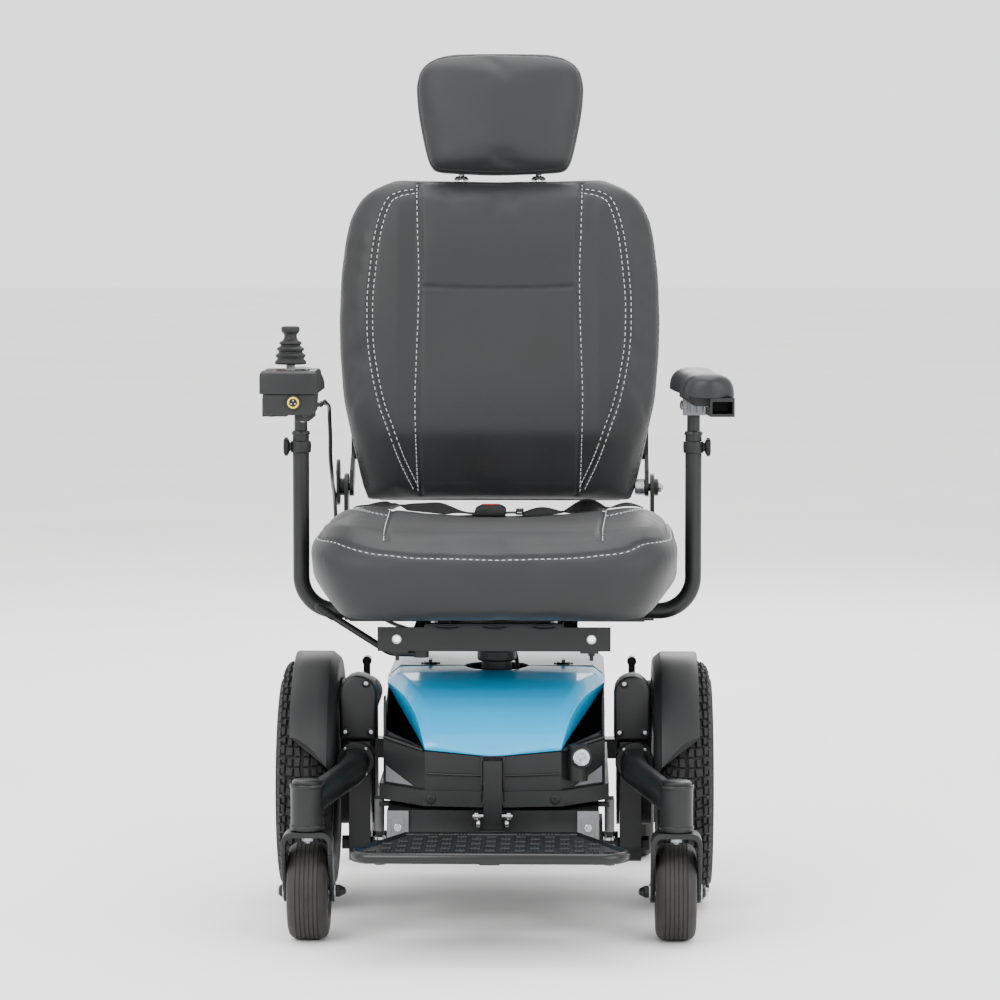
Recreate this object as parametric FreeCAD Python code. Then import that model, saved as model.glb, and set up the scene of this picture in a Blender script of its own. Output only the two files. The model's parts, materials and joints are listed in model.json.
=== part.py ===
import FreeCAD, Part
import math
import os

# Mid-wheel-drive power wheelchair. Millimetres. +Z is up and the chair faces -Y.
# The origin is on the floor under the drive axle, midway between the wheels.
# "left" and "right" are the sitter's: left is +X, and the controller is on the right.
# Left-hand pieces are drawn first, and the right-hand ones are their mirror images.

V = FreeCAD.Vector

# ---- driving dimensions ----
fit = 0.05                  # radial clearance of a running fit
skin_gap = 0.4              # between soft or curved pieces that nearly touch

track_width = 621           # over the drive tyres
wheel_diameter = 356
wheel_width = 78
tyre_height = 72            # tread to bead
rim_width = 58

caster_diameter = 134
front_caster_width = 56
rear_caster_width = 38
caster_trail = 38
front_caster_gap = 43       # swinging front caster to drive tyre
rear_caster_gap = 81
front_barrel_inset = 18.5   # inward of the drive tyre's middle
rear_barrel_inset = 54.5
barrel_height = 63
rear_barrel_height = 51
stem_end_gap = 8
barrel_radius = 22.5
stem_radius = 8
fork_plate = 6
fork_side_gap = 1
fork_crown_gap = 15         # caster tyre to the crown above it
axle_radius = 6

rail_centre_x = 132.5
rail_width = 30
rail_height = 46
rail_bottom = 126
rail_wall = 3
frame_front = 248
frame_rear = 250

pivot_y = -80               # rocker pivot
pivot_z = 100
pivot_radius = 8
rocker_inset = 46           # rocker's inner face, inward of the gearbox's outer face
rocker_width = 31
rocker_travel_gap = 2
arm_tube_radius = 21
arm_tube_z = 222

fender_gap = 6
fender_wall = 4
fender_width = 64
fender_front_angle = 27     # above the axle, in degrees
fender_rear_angle = 12

gearbox_width = 50
motor_radius = 24.5
motor_height = 112          # motor axis above the drive axle
motor_length = 210

battery_length = 197
battery_width = 131
battery_height = 166
battery_gap = 3

post_y = 20
post_radius = 22.2
post_depth = 150            # of post inside its receiver
receiver_wall = 5
post_hole_radius = 46       # in the shrouds

cover_half_width = 156
cover_wall = 3
cover_front = 252
cover_rear = 240
cover_bottom = 178
hood_half_width = 157
hood_top = 344
hood_side_drop = 14
hood_wall = 3
seam_gap = 1.5
knob_radius = 11
knob_height = 12

foot_length = 190
foot_width = 366
foot_rear_width = 236
foot_thickness = 16
foot_top = 150
foot_hinge_y = -290
foot_hinge_radius = 5
foot_slot_inner = 24        # ends of the two front slots, from the middle
foot_slot_outer = 86

seat_bar_gap = 42           # hood top to the seat bar
seat_bar_length = 328
seat_bar_height = 34
seat_bar_wall = 5
seat_bar_y = -170
seat_bar_hole_spacing = 274
seat_bar_hole_radius = 5
cushion_width = 524
cushion_bottom_width = 450
cushion_depth = 475
cushion_front = -290
cushion_thickness = 118

back_lean = 8               # degrees behind upright
hinge_y = 211
hinge_above_cushion = 34
hinge_pin_radius = 6
hinge_plate = 6
back_height = 466
back_width = 478
back_thickness = 90
headrest_width = 252
headrest_height = 184
headrest_thickness = 92
headrest_post_radius = 5
headrest_post_spacing = 116
headrest_post_length = 190

arm_spacing = 571           # between the uprights, centre to centre
arm_y = 40
arm_outer_radius = 12
arm_inner_radius = 9.5
arm_bend = 50
arm_outer_top = 680
arm_pivot_z = 722
arm_pad_top = 776
arm_pad_length = 300
arm_pad_width = 72
arm_flare = 3               # degrees that the left pad turns outward

case_width = 78
case_depth = 106
case_x = -272
case_front = -398
case_bottom = 730
case_top = 790
stick_top = 848
stick_y = -345

cable_radius = 3

beam_pin_radius = 10        # rear beam's pivot
beam_half_height = 15       # rear beam
beam_half_depth = 17
knob_x = 97                 # middle to shroud knob
socket_half = 15            # arm sockets under the seat
back_front = -62            # backrest's front, from the hinge
headrest_post_y = -8
headrest_gap = 4            # headrest over backrest
dish_radius = 28.5          # joystick well
dish_depth = 44
button_radius = 6
skirt_gap = 7               # the bellows stay above the case when the stick tilts

# ---- places that follow from them ----
wheel_radius = wheel_diameter / 2
axle_z = wheel_radius
wheel_x = (track_width - wheel_width) / 2
wheel_inner_x = wheel_x - wheel_width / 2
caster_radius = caster_diameter / 2
front_swing = math.hypot(caster_trail + caster_radius, front_caster_width / 2)
rear_swing = math.hypot(caster_trail + caster_radius, rear_caster_width / 2)
front_barrel_y = -(wheel_radius + front_swing + front_caster_gap)
rear_barrel_y = wheel_radius + rear_swing + rear_caster_gap
crown_bottom = caster_diameter + fork_crown_gap
crown_top = crown_bottom + 8
barrel_bottom = crown_top + 2
fender_outer = wheel_radius + fender_gap + fender_wall
fender_inner_x = wheel_inner_x - 3
gearbox_outer_x = fender_inner_x - 5.5
front_barrel_x = wheel_x - front_barrel_inset
rear_barrel_x = wheel_x - rear_barrel_inset
rocker_inner_x = gearbox_outer_x - rocker_inset
seat_bar_bottom = hood_top + seat_bar_gap
rail_top = rail_bottom + rail_height
rocker_outer_x = rocker_inner_x + rocker_width
cushion_bottom = seat_bar_bottom + 52
cushion_top = cushion_bottom + cushion_thickness
cushion_rear = cushion_front + cushion_depth
hinge_z = cushion_top + hinge_above_cushion
arm_x = arm_spacing / 2
hood_seam_y = post_y


# ---- drawing helpers ----
def block(x0, x1, y0, y1, z0, z1):
    return Part.makeBox(x1 - x0, y1 - y0, z1 - z0, V(x0, y0, z0))


def rod(start, end, radius):
    run = V(*end) - V(*start)
    return Part.makeCylinder(radius, run.Length, V(*start), run)


def outline(points, place):
    """A closed wire. A pair of points in the list is an arc: its middle and its end."""
    edges = []
    here = points[0]
    for step in list(points[1:]) + [points[0]]:
        if isinstance(step[0], tuple):
            edges.append(Part.Arc(place(here), place(step[0]), place(step[1])).toShape())
            here = step[1]
        elif step != here:
            edges.append(Part.LineSegment(place(here), place(step)).toShape())
            here = step
    return Part.Wire(edges)


def prism_x(points, x0, x1):
    """Points are (y, z)."""
    face = Part.Face(outline(points, lambda p: V(x0, p[0], p[1])))
    return face.extrude(V(x1 - x0, 0, 0))


def prism_y(points, y0, y1):
    """Points are (x, z)."""
    face = Part.Face(outline(points, lambda p: V(p[0], y0, p[1])))
    return face.extrude(V(0, y1 - y0, 0))


def prism_z(points, z0, z1):
    """Points are (x, y)."""
    face = Part.Face(outline(points, lambda p: V(p[0], p[1], z0)))
    return face.extrude(V(0, 0, z1 - z0))


def turned_x(points, y, z):
    """Points are (x, radius), turned about the line through y, z along X."""
    face = Part.Face(outline(points, lambda p: V(p[0], y, z + p[1])))
    return face.revolve(V(0, y, z), V(1, 0, 0), 360)


def turned_z(points, x, y):
    """Points are (radius, z), turned about the upright line through x, y."""
    face = Part.Face(outline(points, lambda p: V(x + p[0], y, p[1])))
    return face.revolve(V(x, y, 0), V(0, 0, 1), 360)


def mirror(shape):
    return shape.mirror(V(0, 0, 0), V(1, 0, 0))


def fuse(first, *others):
    return first.multiFuse(list(others)).removeSplitter()


def cut(first, *others):
    for other in others:
        first = first.cut(other)
    return first


def both(points):
    """An outline completed by its mirror image. The points given run along the +X side."""
    ends = [p[1] if isinstance(p[0], tuple) else p for p in points]
    flipped = [(-x, height) for x, height in ends]
    way_back = [flipped[-1]] if ends[-1][0] else []
    for i in range(len(points) - 1, 0, -1):
        if isinstance(points[i][0], tuple):
            middle = points[i][0]
            way_back.append(((-middle[0], middle[1]), flipped[i - 1]))
        elif ends[i - 1][0]:
            way_back.append(flipped[i - 1])
    return list(points) + way_back


nodes = {}


def keep(name, *solids):
    nodes[name] = solids[0] if len(solids) == 1 else Part.makeCompound(list(solids))


def keep_pair(name, *solids):
    keep("left_" + name, *solids)
    keep("right_" + name, *[mirror(s) for s in solids])


# ---- main frame ----
def frame_rail():
    outer = block(
        rail_centre_x - rail_width / 2, rail_centre_x + rail_width / 2,
        -frame_front, frame_rear, rail_bottom, rail_top)
    inner = block(
        rail_centre_x - rail_width / 2 + rail_wall, rail_centre_x + rail_width / 2 - rail_wall,
        -frame_front + rail_wall, frame_rear - rail_wall, rail_bottom + rail_wall, rail_top - rail_wall)
    return outer.cut(inner)


def pivot_spindle():
    """Hanging plate, boss and spindle that carry one rocker."""
    rail_outer = rail_centre_x + rail_width / 2
    plate = prism_x(
        [(pivot_y - 40, rail_bottom + 10), (pivot_y - 24, pivot_z - 22),
         (pivot_y + 24, pivot_z - 22), (pivot_y + 40, rail_bottom + 10)],
        rail_outer, rail_outer + 6)
    boss_end = rocker_inner_x - rocker_travel_gap
    boss = rod((rail_outer, pivot_y, pivot_z), (boss_end, pivot_y, pivot_z), 17)
    spindle = rod((boss_end, pivot_y, pivot_z), (rocker_outer_x + 3, pivot_y, pivot_z), pivot_radius)
    return plate, boss, spindle


beam_z = barrel_bottom + beam_half_height + 1      # height of the rear beam's pivot
tongue_rear = rear_barrel_y - beam_half_depth - rocker_travel_gap
receiver_bottom = rail_bottom
receiver_top = hood_top - 46


def main_frame():
    rail_inner = rail_centre_x - rail_width / 2
    front_cross = block(-rail_inner, rail_inner, -frame_front + 5, -frame_front + 35, rail_bottom, rail_top)
    rear_cross = block(-rail_inner, rail_inner, frame_rear - 32, frame_rear, rail_bottom, rail_top)
    tray = block(-rail_inner, rail_inner, -frame_front + 35, frame_rear - 32, rail_bottom, rail_bottom + 4)
    receiver = Part.makeCylinder(
        post_radius + fit + receiver_wall, receiver_top - receiver_bottom, V(0, post_y, receiver_bottom))
    bore = Part.makeCylinder(
        post_radius + fit, receiver_top, V(0, post_y, receiver_bottom + 12))
    tongue = block(-32, 32, frame_rear, tongue_rear, beam_z - 24, beam_z + 24)
    pin = rod((0, tongue_rear, beam_z), (0, rear_barrel_y + beam_half_depth + 3, beam_z), beam_pin_radius)
    rails = [frame_rail(), mirror(frame_rail())]
    spindles = list(pivot_spindle()) + [mirror(s) for s in pivot_spindle()]
    frame = fuse(front_cross, rear_cross, tray, receiver, tongue, pin, *rails, *spindles)
    frame = frame.cut(bore)
    nut_left = nut_x(rocker_outer_x + 1, pivot_y, pivot_z, 10, 10)
    nut_rear = nut_x(0, 0, 0, 14, 8)
    nut_rear.rotate(V(0, 0, 0), V(0, 0, 1), 90)
    nut_rear.translate(V(0, rear_barrel_y + beam_half_depth + 1, beam_z))
    keep("main_frame", fuse(frame, nut_left, mirror(nut_left), nut_rear))


def nut_x(x, y, z, radius, thickness):
    """Hexagonal nut whose axis runs along X."""
    corners = []
    for i in range(6):
        angle = math.radians(60 * i + 30)
        corners.append((y + radius * math.cos(angle), z + radius * math.sin(angle)))
    return prism_x(corners, x, x + thickness)


def batteries():
    receiver_outer = post_radius + fit + receiver_wall
    floor = rail_bottom + 4
    front_end = post_y - receiver_outer - battery_gap
    rear_end = post_y + receiver_outer + battery_gap
    places = [(front_end - battery_width, front_end), (rear_end, rear_end + battery_width)]
    cells = []
    for y0, y1 in places:
        case = block(-battery_length / 2, battery_length / 2, y0, y1, floor, floor + battery_height - 8)
        lid = block(
            -battery_length / 2 + 3, battery_length / 2 - 3, y0 + 3, y1 - 3,
            floor + battery_height - 8, floor + battery_height)
        cells.append(fuse(case, lid))
    keep("batteries", *cells)
    top = floor + battery_height
    case = block(-70, 70, rear_end + 12, rear_end + 118, top + 0.5, top + 34)
    ribs = [block(-64, 64, rear_end + 22 + 18 * i, rear_end + 27 + 18 * i, top + 34, top + 38) for i in range(5)]
    keep("power_module", fuse(case, *ribs))


# ---- covers ----
def plan_of_cover(inset):
    side = cover_half_width - inset
    nose = cover_front - inset
    return both([
        (side, cover_rear - inset), (side, -cover_front + 77), (95 - inset * 0.5, -nose + 14), (0, -nose)])


def hood_edge(lower):
    """Side outline of the space above the line where the hood meets the black cover."""
    side = hood_top - hood_side_drop - lower
    return [
        (400, side), (hood_seam_y - 25, side), (-cover_front + 27, side - 68), (-cover_front, side - 82),
        (-400, side - 82), (-400, 500), (400, 500)]


def lower_cover():
    tub = prism_z(plan_of_cover(0), cover_bottom, hood_top)
    hollow = prism_z(plan_of_cover(cover_wall), cover_bottom - 1, hood_top + 1)
    tub = cut(tub, hollow, prism_x(hood_edge(seam_gap), -300, 300))
    shelf = prism_z(plan_of_cover(-6), cover_bottom, cover_bottom + 22)
    shelf = shelf.cut(prism_z(plan_of_cover(cover_wall), cover_bottom - 1, hood_top))
    tub = fuse(tub, shelf)
    lamp = rod((118, -cover_front + 26, 212), (118, -cover_front + 26, 262), 14)
    tub = fuse(tub, lamp)
    neck_notch = block(-14, 14, -cover_front - 20, -cover_front + 45, 0, cover_bottom + 4)
    keep("lower_cover", tub.cut(neck_notch))


def hood_plan(inset):
    side = hood_half_width - inset
    nose = cover_front - inset
    return both([
        (side, 500), (side, hood_seam_y - 50), (96 - inset * 0.5, -nose + 14), (0, -nose)])


def hood_front_view(inset):
    side = hood_half_width - inset
    top = hood_top - inset
    bevel = 17 - inset * 0.4
    return both([(side, 100), (side, top - hood_side_drop), (side - bevel, top)])


def hood_side_view(inset):
    top = hood_top - inset
    nose = -cover_front + inset
    return [
        (400, 100), (400, top - 16), (160, top), (hood_seam_y, top), (nose + 120, top - 16),
        ((nose + 52, top - 38), (nose + 16, top - 82)), (nose, top - 100), (nose, 100)]


def hood_form(inset):
    form = prism_z(hood_plan(inset), 100, 400)
    form = form.common(prism_y(hood_front_view(inset), -500, 500))
    return form.common(prism_x(hood_side_view(inset), -300, 300))




def shrouds():
    shell = hood_form(0).cut(hood_form(hood_wall))
    shell = shell.common(prism_x(hood_edge(0), -300, 300))
    post_hole = Part.makeCylinder(post_hole_radius, 400, V(0, post_y, 0))
    shell = shell.cut(post_hole)
    wells = []
    for side in (-1, 1):
        x = side * knob_x
        cup = block(x - 16, x + 16, hood_seam_y + 6, hood_seam_y + 36, hood_top - 12, hood_top)
        inner = block(x - 14, x + 14, hood_seam_y + 8, hood_seam_y + 34, hood_top - 10, hood_top + 5)
        wells.append((cup, inner))
    half = block(-300, 300, hood_seam_y + seam_gap / 2, cover_rear + 6, 0, 500)
    rear = shell.common(half)
    back_wall = prism_z(hood_plan(0), 100, 400).common(hood_form(0))
    back_wall = back_wall.common(block(-300, 300, cover_rear + 3, cover_rear + 6, 0, 500))
    back_wall = back_wall.common(prism_x(hood_edge(0), -300, 300))
    rear = fuse(rear, back_wall, *[w[0] for w in wells])
    rear = cut(rear, *[w[1] for w in wells])
    front = shell.common(block(-300, 300, -500, hood_seam_y - seam_gap / 2, 0, 500))
    keep("front_shroud", front)
    keep("rear_shroud", rear)
    # each latch knob turns in its well
    y = hood_seam_y + 21
    base = hood_top - 10 + skin_gap
    profile = [(0, base), (knob_radius - 2, base), (knob_radius, base + 2), (knob_radius, base + knob_height - 2),
               (knob_radius - 2, base + knob_height), (0, base + knob_height)]
    knob = turned_z(profile, knob_x, y)
    grip = block(knob_x - 2.5, knob_x + 2.5, y - 9, y + 9, base + knob_height - 1, base + knob_height + 4)
    keep_pair("shroud_knob", fuse(knob, grip))


def struts():
    """Slim dampers beside the rails, with rod, collars and top tab."""
    x = (rail_centre_x + rail_width / 2 + rocker_inner_x) / 2
    y = -150
    body = rod((x, y, rail_top - 50), (x, y, rail_top + 6), 6.5)
    piston = rod((x, y, rail_top - 92), (x, y, rail_top - 50), 3.5)
    collars = [rod((x, y, z), (x, y, z + 5), 8) for z in (rail_top - 58, rail_top - 70, rail_top - 92)]
    tab = block(rail_centre_x + rail_width / 2, x, y - 7, y + 7, rail_top - 8, rail_top - 2)
    strut = fuse(body, piston, tab, *collars)
    keep("suspension_struts", strut, mirror(strut))


# ---- footplate ----
foot_hinge_z = foot_top - foot_thickness / 2 - 2
bracket_front = -cover_front - 8


def footplate():
    bottom = foot_top - foot_thickness
    front = foot_hinge_y - foot_length
    rear = foot_hinge_y - 11.5
    plate = prism_z(
        both([(foot_rear_width / 2, rear), (foot_width / 2, front + 34),
              ((foot_width / 2 - 8, front + 10), (foot_width / 2 - 34, front))]),
        bottom, foot_top)
    under = prism_z(
        both([(foot_rear_width / 2 - 5, rear - 4), (foot_width / 2 - 5, front + 34),
              (foot_width / 2 - 36, front + 6)]),
        bottom - 1, foot_top - 4)
    plate = plate.cut(under)
    ribs = [block(x - 2, x + 2, front + 5, rear - 2, bottom + 3, foot_top - 3) for x in (-110, -55, 55, 110)]
    plate = fuse(plate, *ribs)
    for side in (-1, 1):
        x0, x1 = sorted((side * foot_slot_inner, side * foot_slot_outer))
        plate = plate.cut(block(x0, x1, front + 12, front + 22, bottom - 1, foot_top + 1))
    knuckles = []
    for side in (-1, 1):
        x0, x1 = sorted((side * 19, side * 31))
        knuckles.append(rod((x0, foot_hinge_y, foot_hinge_z), (x1, foot_hinge_y, foot_hinge_z), 9.5))
        knuckles.append(block(x0, x1, rear - 12, foot_hinge_y, foot_hinge_z - 6, foot_hinge_z + 6))
    plate = fuse(plate, *knuckles)
    bore = rod((-60, foot_hinge_y, foot_hinge_z), (60, foot_hinge_y, foot_hinge_z), foot_hinge_radius + fit)
    keep("footplate", plate.cut(bore))


def footplate_bracket():
    post = block(-13, 13, bracket_front - 4, bracket_front + 1.5, foot_hinge_z - 12, 244)
    neck = block(-13, 13, bracket_front - 4, -frame_front + 5, rail_bottom + 8, rail_bottom + 30)
    lug = block(-17.5, 17.5, foot_hinge_y, bracket_front, foot_hinge_z - 10, foot_hinge_z + 10)
    knuckle = rod((-17.5, foot_hinge_y, foot_hinge_z), (17.5, foot_hinge_y, foot_hinge_z), 9.5)
    bracket = fuse(post, neck, lug, knuckle)
    bracket = bracket.cut(
        rod((-60, foot_hinge_y, foot_hinge_z), (60, foot_hinge_y, foot_hinge_z), foot_hinge_radius))
    pin = rod((-36, foot_hinge_y, foot_hinge_z), (36, foot_hinge_y, foot_hinge_z), foot_hinge_radius)
    heads = [
        rod((-40, foot_hinge_y, foot_hinge_z), (-33, foot_hinge_y, foot_hinge_z), 8),
        rod((33, foot_hinge_y, foot_hinge_z), (40, foot_hinge_y, foot_hinge_z), 8)]
    keep("footplate_bracket", bracket, fuse(pin, *heads))


# ---- casters ----
def fork(x, y, width, stem_length):
    """Stem, crown and two legs with the wheel's axle; the wheel trails behind the stem."""
    inside = width / 2 + fork_side_gap
    outside = inside + fork_plate
    axle_y = y + caster_trail
    crown = block(x - outside, x + outside, y - 20, y + 24, crown_bottom, crown_top)
    leg_outline = [
        (y - 20, crown_bottom), (y - 20, crown_bottom - 22), (axle_y - 15, caster_radius),
        ((axle_y, caster_radius - 15), (axle_y + 15, caster_radius)),
        (y + 24, crown_bottom - 22), (y + 24, crown_bottom)]
    legs = [prism_x(leg_outline, x + s, x + s + fork_plate) for s in (-outside, inside)]
    collar = Part.makeCylinder(17, 1.4, V(x, y, crown_top))
    stem = Part.makeCylinder(stem_radius, stem_length, V(x, y, crown_top))
    body = fuse(crown, collar, stem, *legs)
    shaft = rod((x - outside - 3, axle_y, caster_radius), (x + outside + 3, axle_y, caster_radius), axle_radius)
    body = body.cut(shaft)
    heads = [
        nut_x(x - outside - 8, axle_y, caster_radius, 10, 7.5),
        nut_x(x + outside + 0.5, axle_y, caster_radius, 10, 7.5)]
    return body, fuse(shaft, *heads)


def caster_wheel(x, y, width):
    half = width / 2
    r = caster_radius
    tread = [
        (x - half + 3, r * 0.55), (x - half, r * 0.62), (x - half, r - 12), ((x - half + 5, r - 4), (x - half + 14, r)),
        (x + half - 14, r), ((x + half - 5, r - 4), (x + half, r - 12)), (x + half, r * 0.62), (x + half - 3, r * 0.55)]
    hub = [
        (x - half + 1, axle_radius + fit), (x - half + 1, 18), (x - half + 8, 20), (x - half + 8, r * 0.5),
        (x - half + 3, r * 0.55), (x + half - 3, r * 0.55), (x + half - 8, r * 0.5), (x + half - 8, 20),
        (x + half - 1, 18), (x + half - 1, axle_radius + fit)]
    return turned_x(tread, y, r), turned_x(hub, y, r)


def barrel(x, y, height, radius):
    shell = Part.makeCylinder(radius, height, V(x, y, barrel_bottom))
    cap = Part.makeCylinder(radius - 3, 2.5, V(x, y, barrel_bottom + height))
    bore = Part.makeCylinder(stem_radius + fit, height - 6, V(x, y, barrel_bottom))
    return fuse(shell, cap), bore


def casters():
    body, shaft = fork(front_barrel_x, front_barrel_y, front_caster_width, barrel_height - stem_end_gap)
    keep_pair("front_fork", body, shaft)
    tyre, hub = caster_wheel(front_barrel_x, front_barrel_y + caster_trail, front_caster_width)
    keep_pair("front_wheel", tyre, hub)
    body, shaft = fork(rear_barrel_x, rear_barrel_y, rear_caster_width, rear_barrel_height - stem_end_gap)
    keep_pair("rear_fork", body, shaft)
    tyre, hub = caster_wheel(rear_barrel_x, rear_barrel_y + caster_trail, rear_caster_width)
    keep_pair("rear_wheel", tyre, hub)


def rear_beam():
    shell, bore = barrel(rear_barrel_x, rear_barrel_y, rear_barrel_height, barrel_radius - 1.5)
    low = beam_z - beam_half_height
    high = beam_z + beam_half_height
    beam = block(
        -rear_barrel_x, rear_barrel_x, rear_barrel_y - beam_half_depth, rear_barrel_y + beam_half_depth, low, high)
    hub_ends = (rear_barrel_y - beam_half_depth, rear_barrel_y + beam_half_depth)
    hub = rod((0, hub_ends[0], beam_z), (0, hub_ends[1], beam_z), 24)
    beam = fuse(beam, hub, shell, mirror(shell))
    pin_hole = rod((0, hub_ends[0] - 5, beam_z), (0, hub_ends[1] + 5, beam_z), beam_pin_radius + fit)
    keep("rear_beam", cut(beam, bore, mirror(bore), pin_hole))


# ---- drive units ----
def bent_tube(points, radius, bend):
    """A round bar along straight runs joined by arcs of one radius."""
    return swept(points, radius, [bend] * (len(points) - 2))


def swept(points, radius, bends):
    pts = [V(*p) for p in points]
    edges = []
    here = pts[0]
    for i, bend in enumerate(bends):
        corner = pts[i + 1]
        come = (corner - pts[i]).normalize()
        go = (pts[i + 2] - corner).normalize()
        turn = come.getAngle(go)
        back = bend * math.tan(turn / 2)
        start = corner - come * back
        end = corner + go * back
        inward = (go - come).normalize()
        middle = corner + inward * (bend / math.cos(turn / 2) - bend)
        if (start - here).Length > 1e-4:
            edges.append(Part.LineSegment(here, start).toShape())
        edges.append(Part.Arc(start, middle, end).toShape())
        here = end
    edges.append(Part.LineSegment(here, pts[-1]).toShape())
    path = Part.Wire(edges)
    first = (pts[1] - pts[0]).normalize()
    section = Part.Wire([Part.makeCircle(radius, pts[0], first)])
    tube = path.makePipeShell([section], True, False)
    return tube


def rocker_arm():
    """Pivot box, swept arm and caster barrel, in one welded piece."""
    x0, x1 = rocker_inner_x, rocker_outer_x
    xm = (x0 + x1) / 2 + 5
    box = prism_x(
        [(pivot_y - 26, pivot_z + 4), ((pivot_y, pivot_z - 26), (pivot_y + 26, pivot_z + 4)),
         (pivot_y + 34, arm_tube_z + 26), (pivot_y - 20, arm_tube_z + 26)], x0, x1)
    collar = rod((xm, pivot_y - 34, arm_tube_z), (xm, pivot_y + 20, arm_tube_z), arm_tube_radius + 4.5)
    tube = bent_tube(
        [(xm, pivot_y, arm_tube_z), (xm, front_barrel_y + 128, arm_tube_z - 2),
         (front_barrel_x - 4, front_barrel_y + 14, barrel_bottom + barrel_height - 26),
         ], arm_tube_radius - 1, 60)
    shell, bore = barrel(front_barrel_x, front_barrel_y, barrel_height, barrel_radius)
    pivot_bore = rod((x0 - 5, pivot_y, pivot_z), (x1 + 5, pivot_y, pivot_z), pivot_radius + fit)
    arm = fuse(box, collar, tube, shell)
    keep_pair("rocker_arm", cut(arm, bore, pivot_bore))


def fender():
    """Moulded guard over the top of the drive tyre, with an inner wall."""
    inner_r = fender_outer - fender_wall
    x0 = fender_inner_x - 4
    x1 = x0 + fender_width

    def at(radius, degrees):
        angle = math.radians(degrees)
        return (-radius * math.cos(angle), axle_z + radius * math.sin(angle))

    front = fender_front_angle
    rear = 180 - fender_rear_angle
    band = prism_x(
        [at(inner_r, front), at(fender_outer, front), (at(fender_outer, 90), at(fender_outer, rear)),
         at(inner_r, rear), (at(inner_r, 90), at(inner_r, front))], x0, x1)
    wall_r = fender_outer - 1
    wall = prism_x(
        [at(wall_r, 4), (at(wall_r, 90), at(wall_r, 176)), at(96, 150), (at(96, 90), at(96, 30))],
        x0, x0 + 3)
    keep_pair("fender", fuse(band, wall))


def gearbox():
    x1 = gearbox_outer_x
    x0 = x1 - gearbox_width
    y0 = pivot_y + 36
    top = axle_z + motor_height
    case = prism_x(
        [(y0, axle_z - 40), ((20, axle_z - 60), (56, axle_z)), (44, top), ((8, top + 34), (y0, top))],
        x0, x1)
    snout = rod((x1 - 1, 0, axle_z), (wheel_inner_x + 4, 0, axle_z), 27)
    axle = rod((x1 - 1, 0, axle_z), (wheel_x + 18, 0, axle_z), 11)
    foot = block(rocker_inner_x, rocker_outer_x, pivot_y + 20, y0 + 6, pivot_z + 34, arm_tube_z + 10)
    foot = foot.cut(nodes["left_rocker_arm"])
    keep_pair("gearbox", fuse(case, snout, axle, foot))


def motor():
    """Motor body behind the gearbox and its moulded front cover."""
    x = gearbox_outer_x - gearbox_width / 2
    z = axle_z + motor_height
    body = rod((x, 60, z - 6), (x, 60 + motor_length - 70, z - 6), motor_radius)
    flange = rod((x, 52, z - 6), (x, 62, z - 6), motor_radius - 4)
    body = fuse(body, flange).cut(nodes["left_gearbox"])
    y0 = pivot_y - 22
    y1 = pivot_y + 33
    cover = prism_x(
        [(y0 + 8, z - 42), (y0, z - 30), (y0, z + 30), ((y0 + 8, z + 48), (y0 + 26, z + 53)), (y1, z + 53), (y1, z - 42)],
        x - 30, x + 26)
    cover = cover.cut(nodes["left_rocker_arm"]).cut(nodes["left_gearbox"])
    keep_pair("motor", body, cover)


def release_lever():
    """Freewheel lever on the back of the motor, turning about the motor's axis."""
    x = gearbox_outer_x - gearbox_width / 2
    z = axle_z + motor_height - 6
    y = 60 + motor_length - 70 + skin_gap
    hub = rod((x, y, z), (x, y + 9, z), 14)
    arm = block(x - 5, x + 5, y + 1, y + 8, z, z + 46)
    grip = rod((x, y + 1, z + 44), (x, y + 20, z + 44), 7)
    keep_pair("release_lever", fuse(hub, arm, grip))


def drive_wheel():
    half = wheel_width / 2
    bead = wheel_radius - tyre_height
    x = wheel_x
    r = wheel_radius
    tread = [
        (x - rim_width / 2 + 4, bead), ((x - half + 1, bead + 14), (x - half, bead + 34)),
        ((x - half + 4, r - 16), (x - half + 16, r - 5)), ((x, r), (x + half - 16, r - 5)),
        ((x + half - 4, r - 16), (x + half, bead + 34)), ((x + half - 1, bead + 14), (x + rim_width / 2 - 4, bead))]
    keep_pair("drive_tyre", turned_x(tread, 0, axle_z))
    well = bead - 12
    rim = [
        (x - rim_width / 2, bead + 4), (x - rim_width / 2 + 4, bead + 4), (x - rim_width / 2 + 4, bead),
        (x + rim_width / 2 - 4, bead), (x + rim_width / 2 - 4, bead + 4), (x + rim_width / 2, bead + 4),
        (x + rim_width / 2, bead - 4), (x + rim_width / 2 - 8, well), (x - rim_width / 2 + 8, well),
        (x - rim_width / 2, bead - 4)]
    # the flange lips stand outside the tyre's bead
    hoop = turned_x(rim, 0, axle_z)
    hub = turned_x(
        [(x - 16, 11 + fit), (x - 16, 26), (x + 6, 26), (x + 22, 22), (x + 30, 18), (x + 30, 4), (x + 19, 4),
         (x + 19, 11 + fit)], 0, axle_z)
    spokes = []
    for i in range(5):
        spoke = prism_x([(-11, axle_z + 20), (-15, axle_z + well + 3), (15, axle_z + well + 3), (11, axle_z + 20)],
                        x - 4, x + 12)
        spoke.rotate(V(0, 0, axle_z), V(1, 0, 0), 72 * i)
        spokes.append(spoke)
    wheel = fuse(hoop, hub, *spokes)
    wheel = wheel.cut(rod((x - 40, 0, axle_z), (x + 19, 0, axle_z), 11 + fit))
    wheel = wheel.cut(nodes["left_drive_tyre"])
    keep_pair("drive_rim", wheel)


# ---- seat ----
seat_plate_z = seat_bar_bottom - 2
arm_leg_z = cushion_bottom - 16


def seat_post():
    bottom = receiver_top - post_depth
    post = Part.makeCylinder(post_radius, seat_plate_z - bottom, V(0, post_y, bottom))
    bore = Part.makeCylinder(post_radius - 4, seat_plate_z - bottom - 8, V(0, post_y, bottom))
    keep("seat_post", post.cut(bore))


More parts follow.
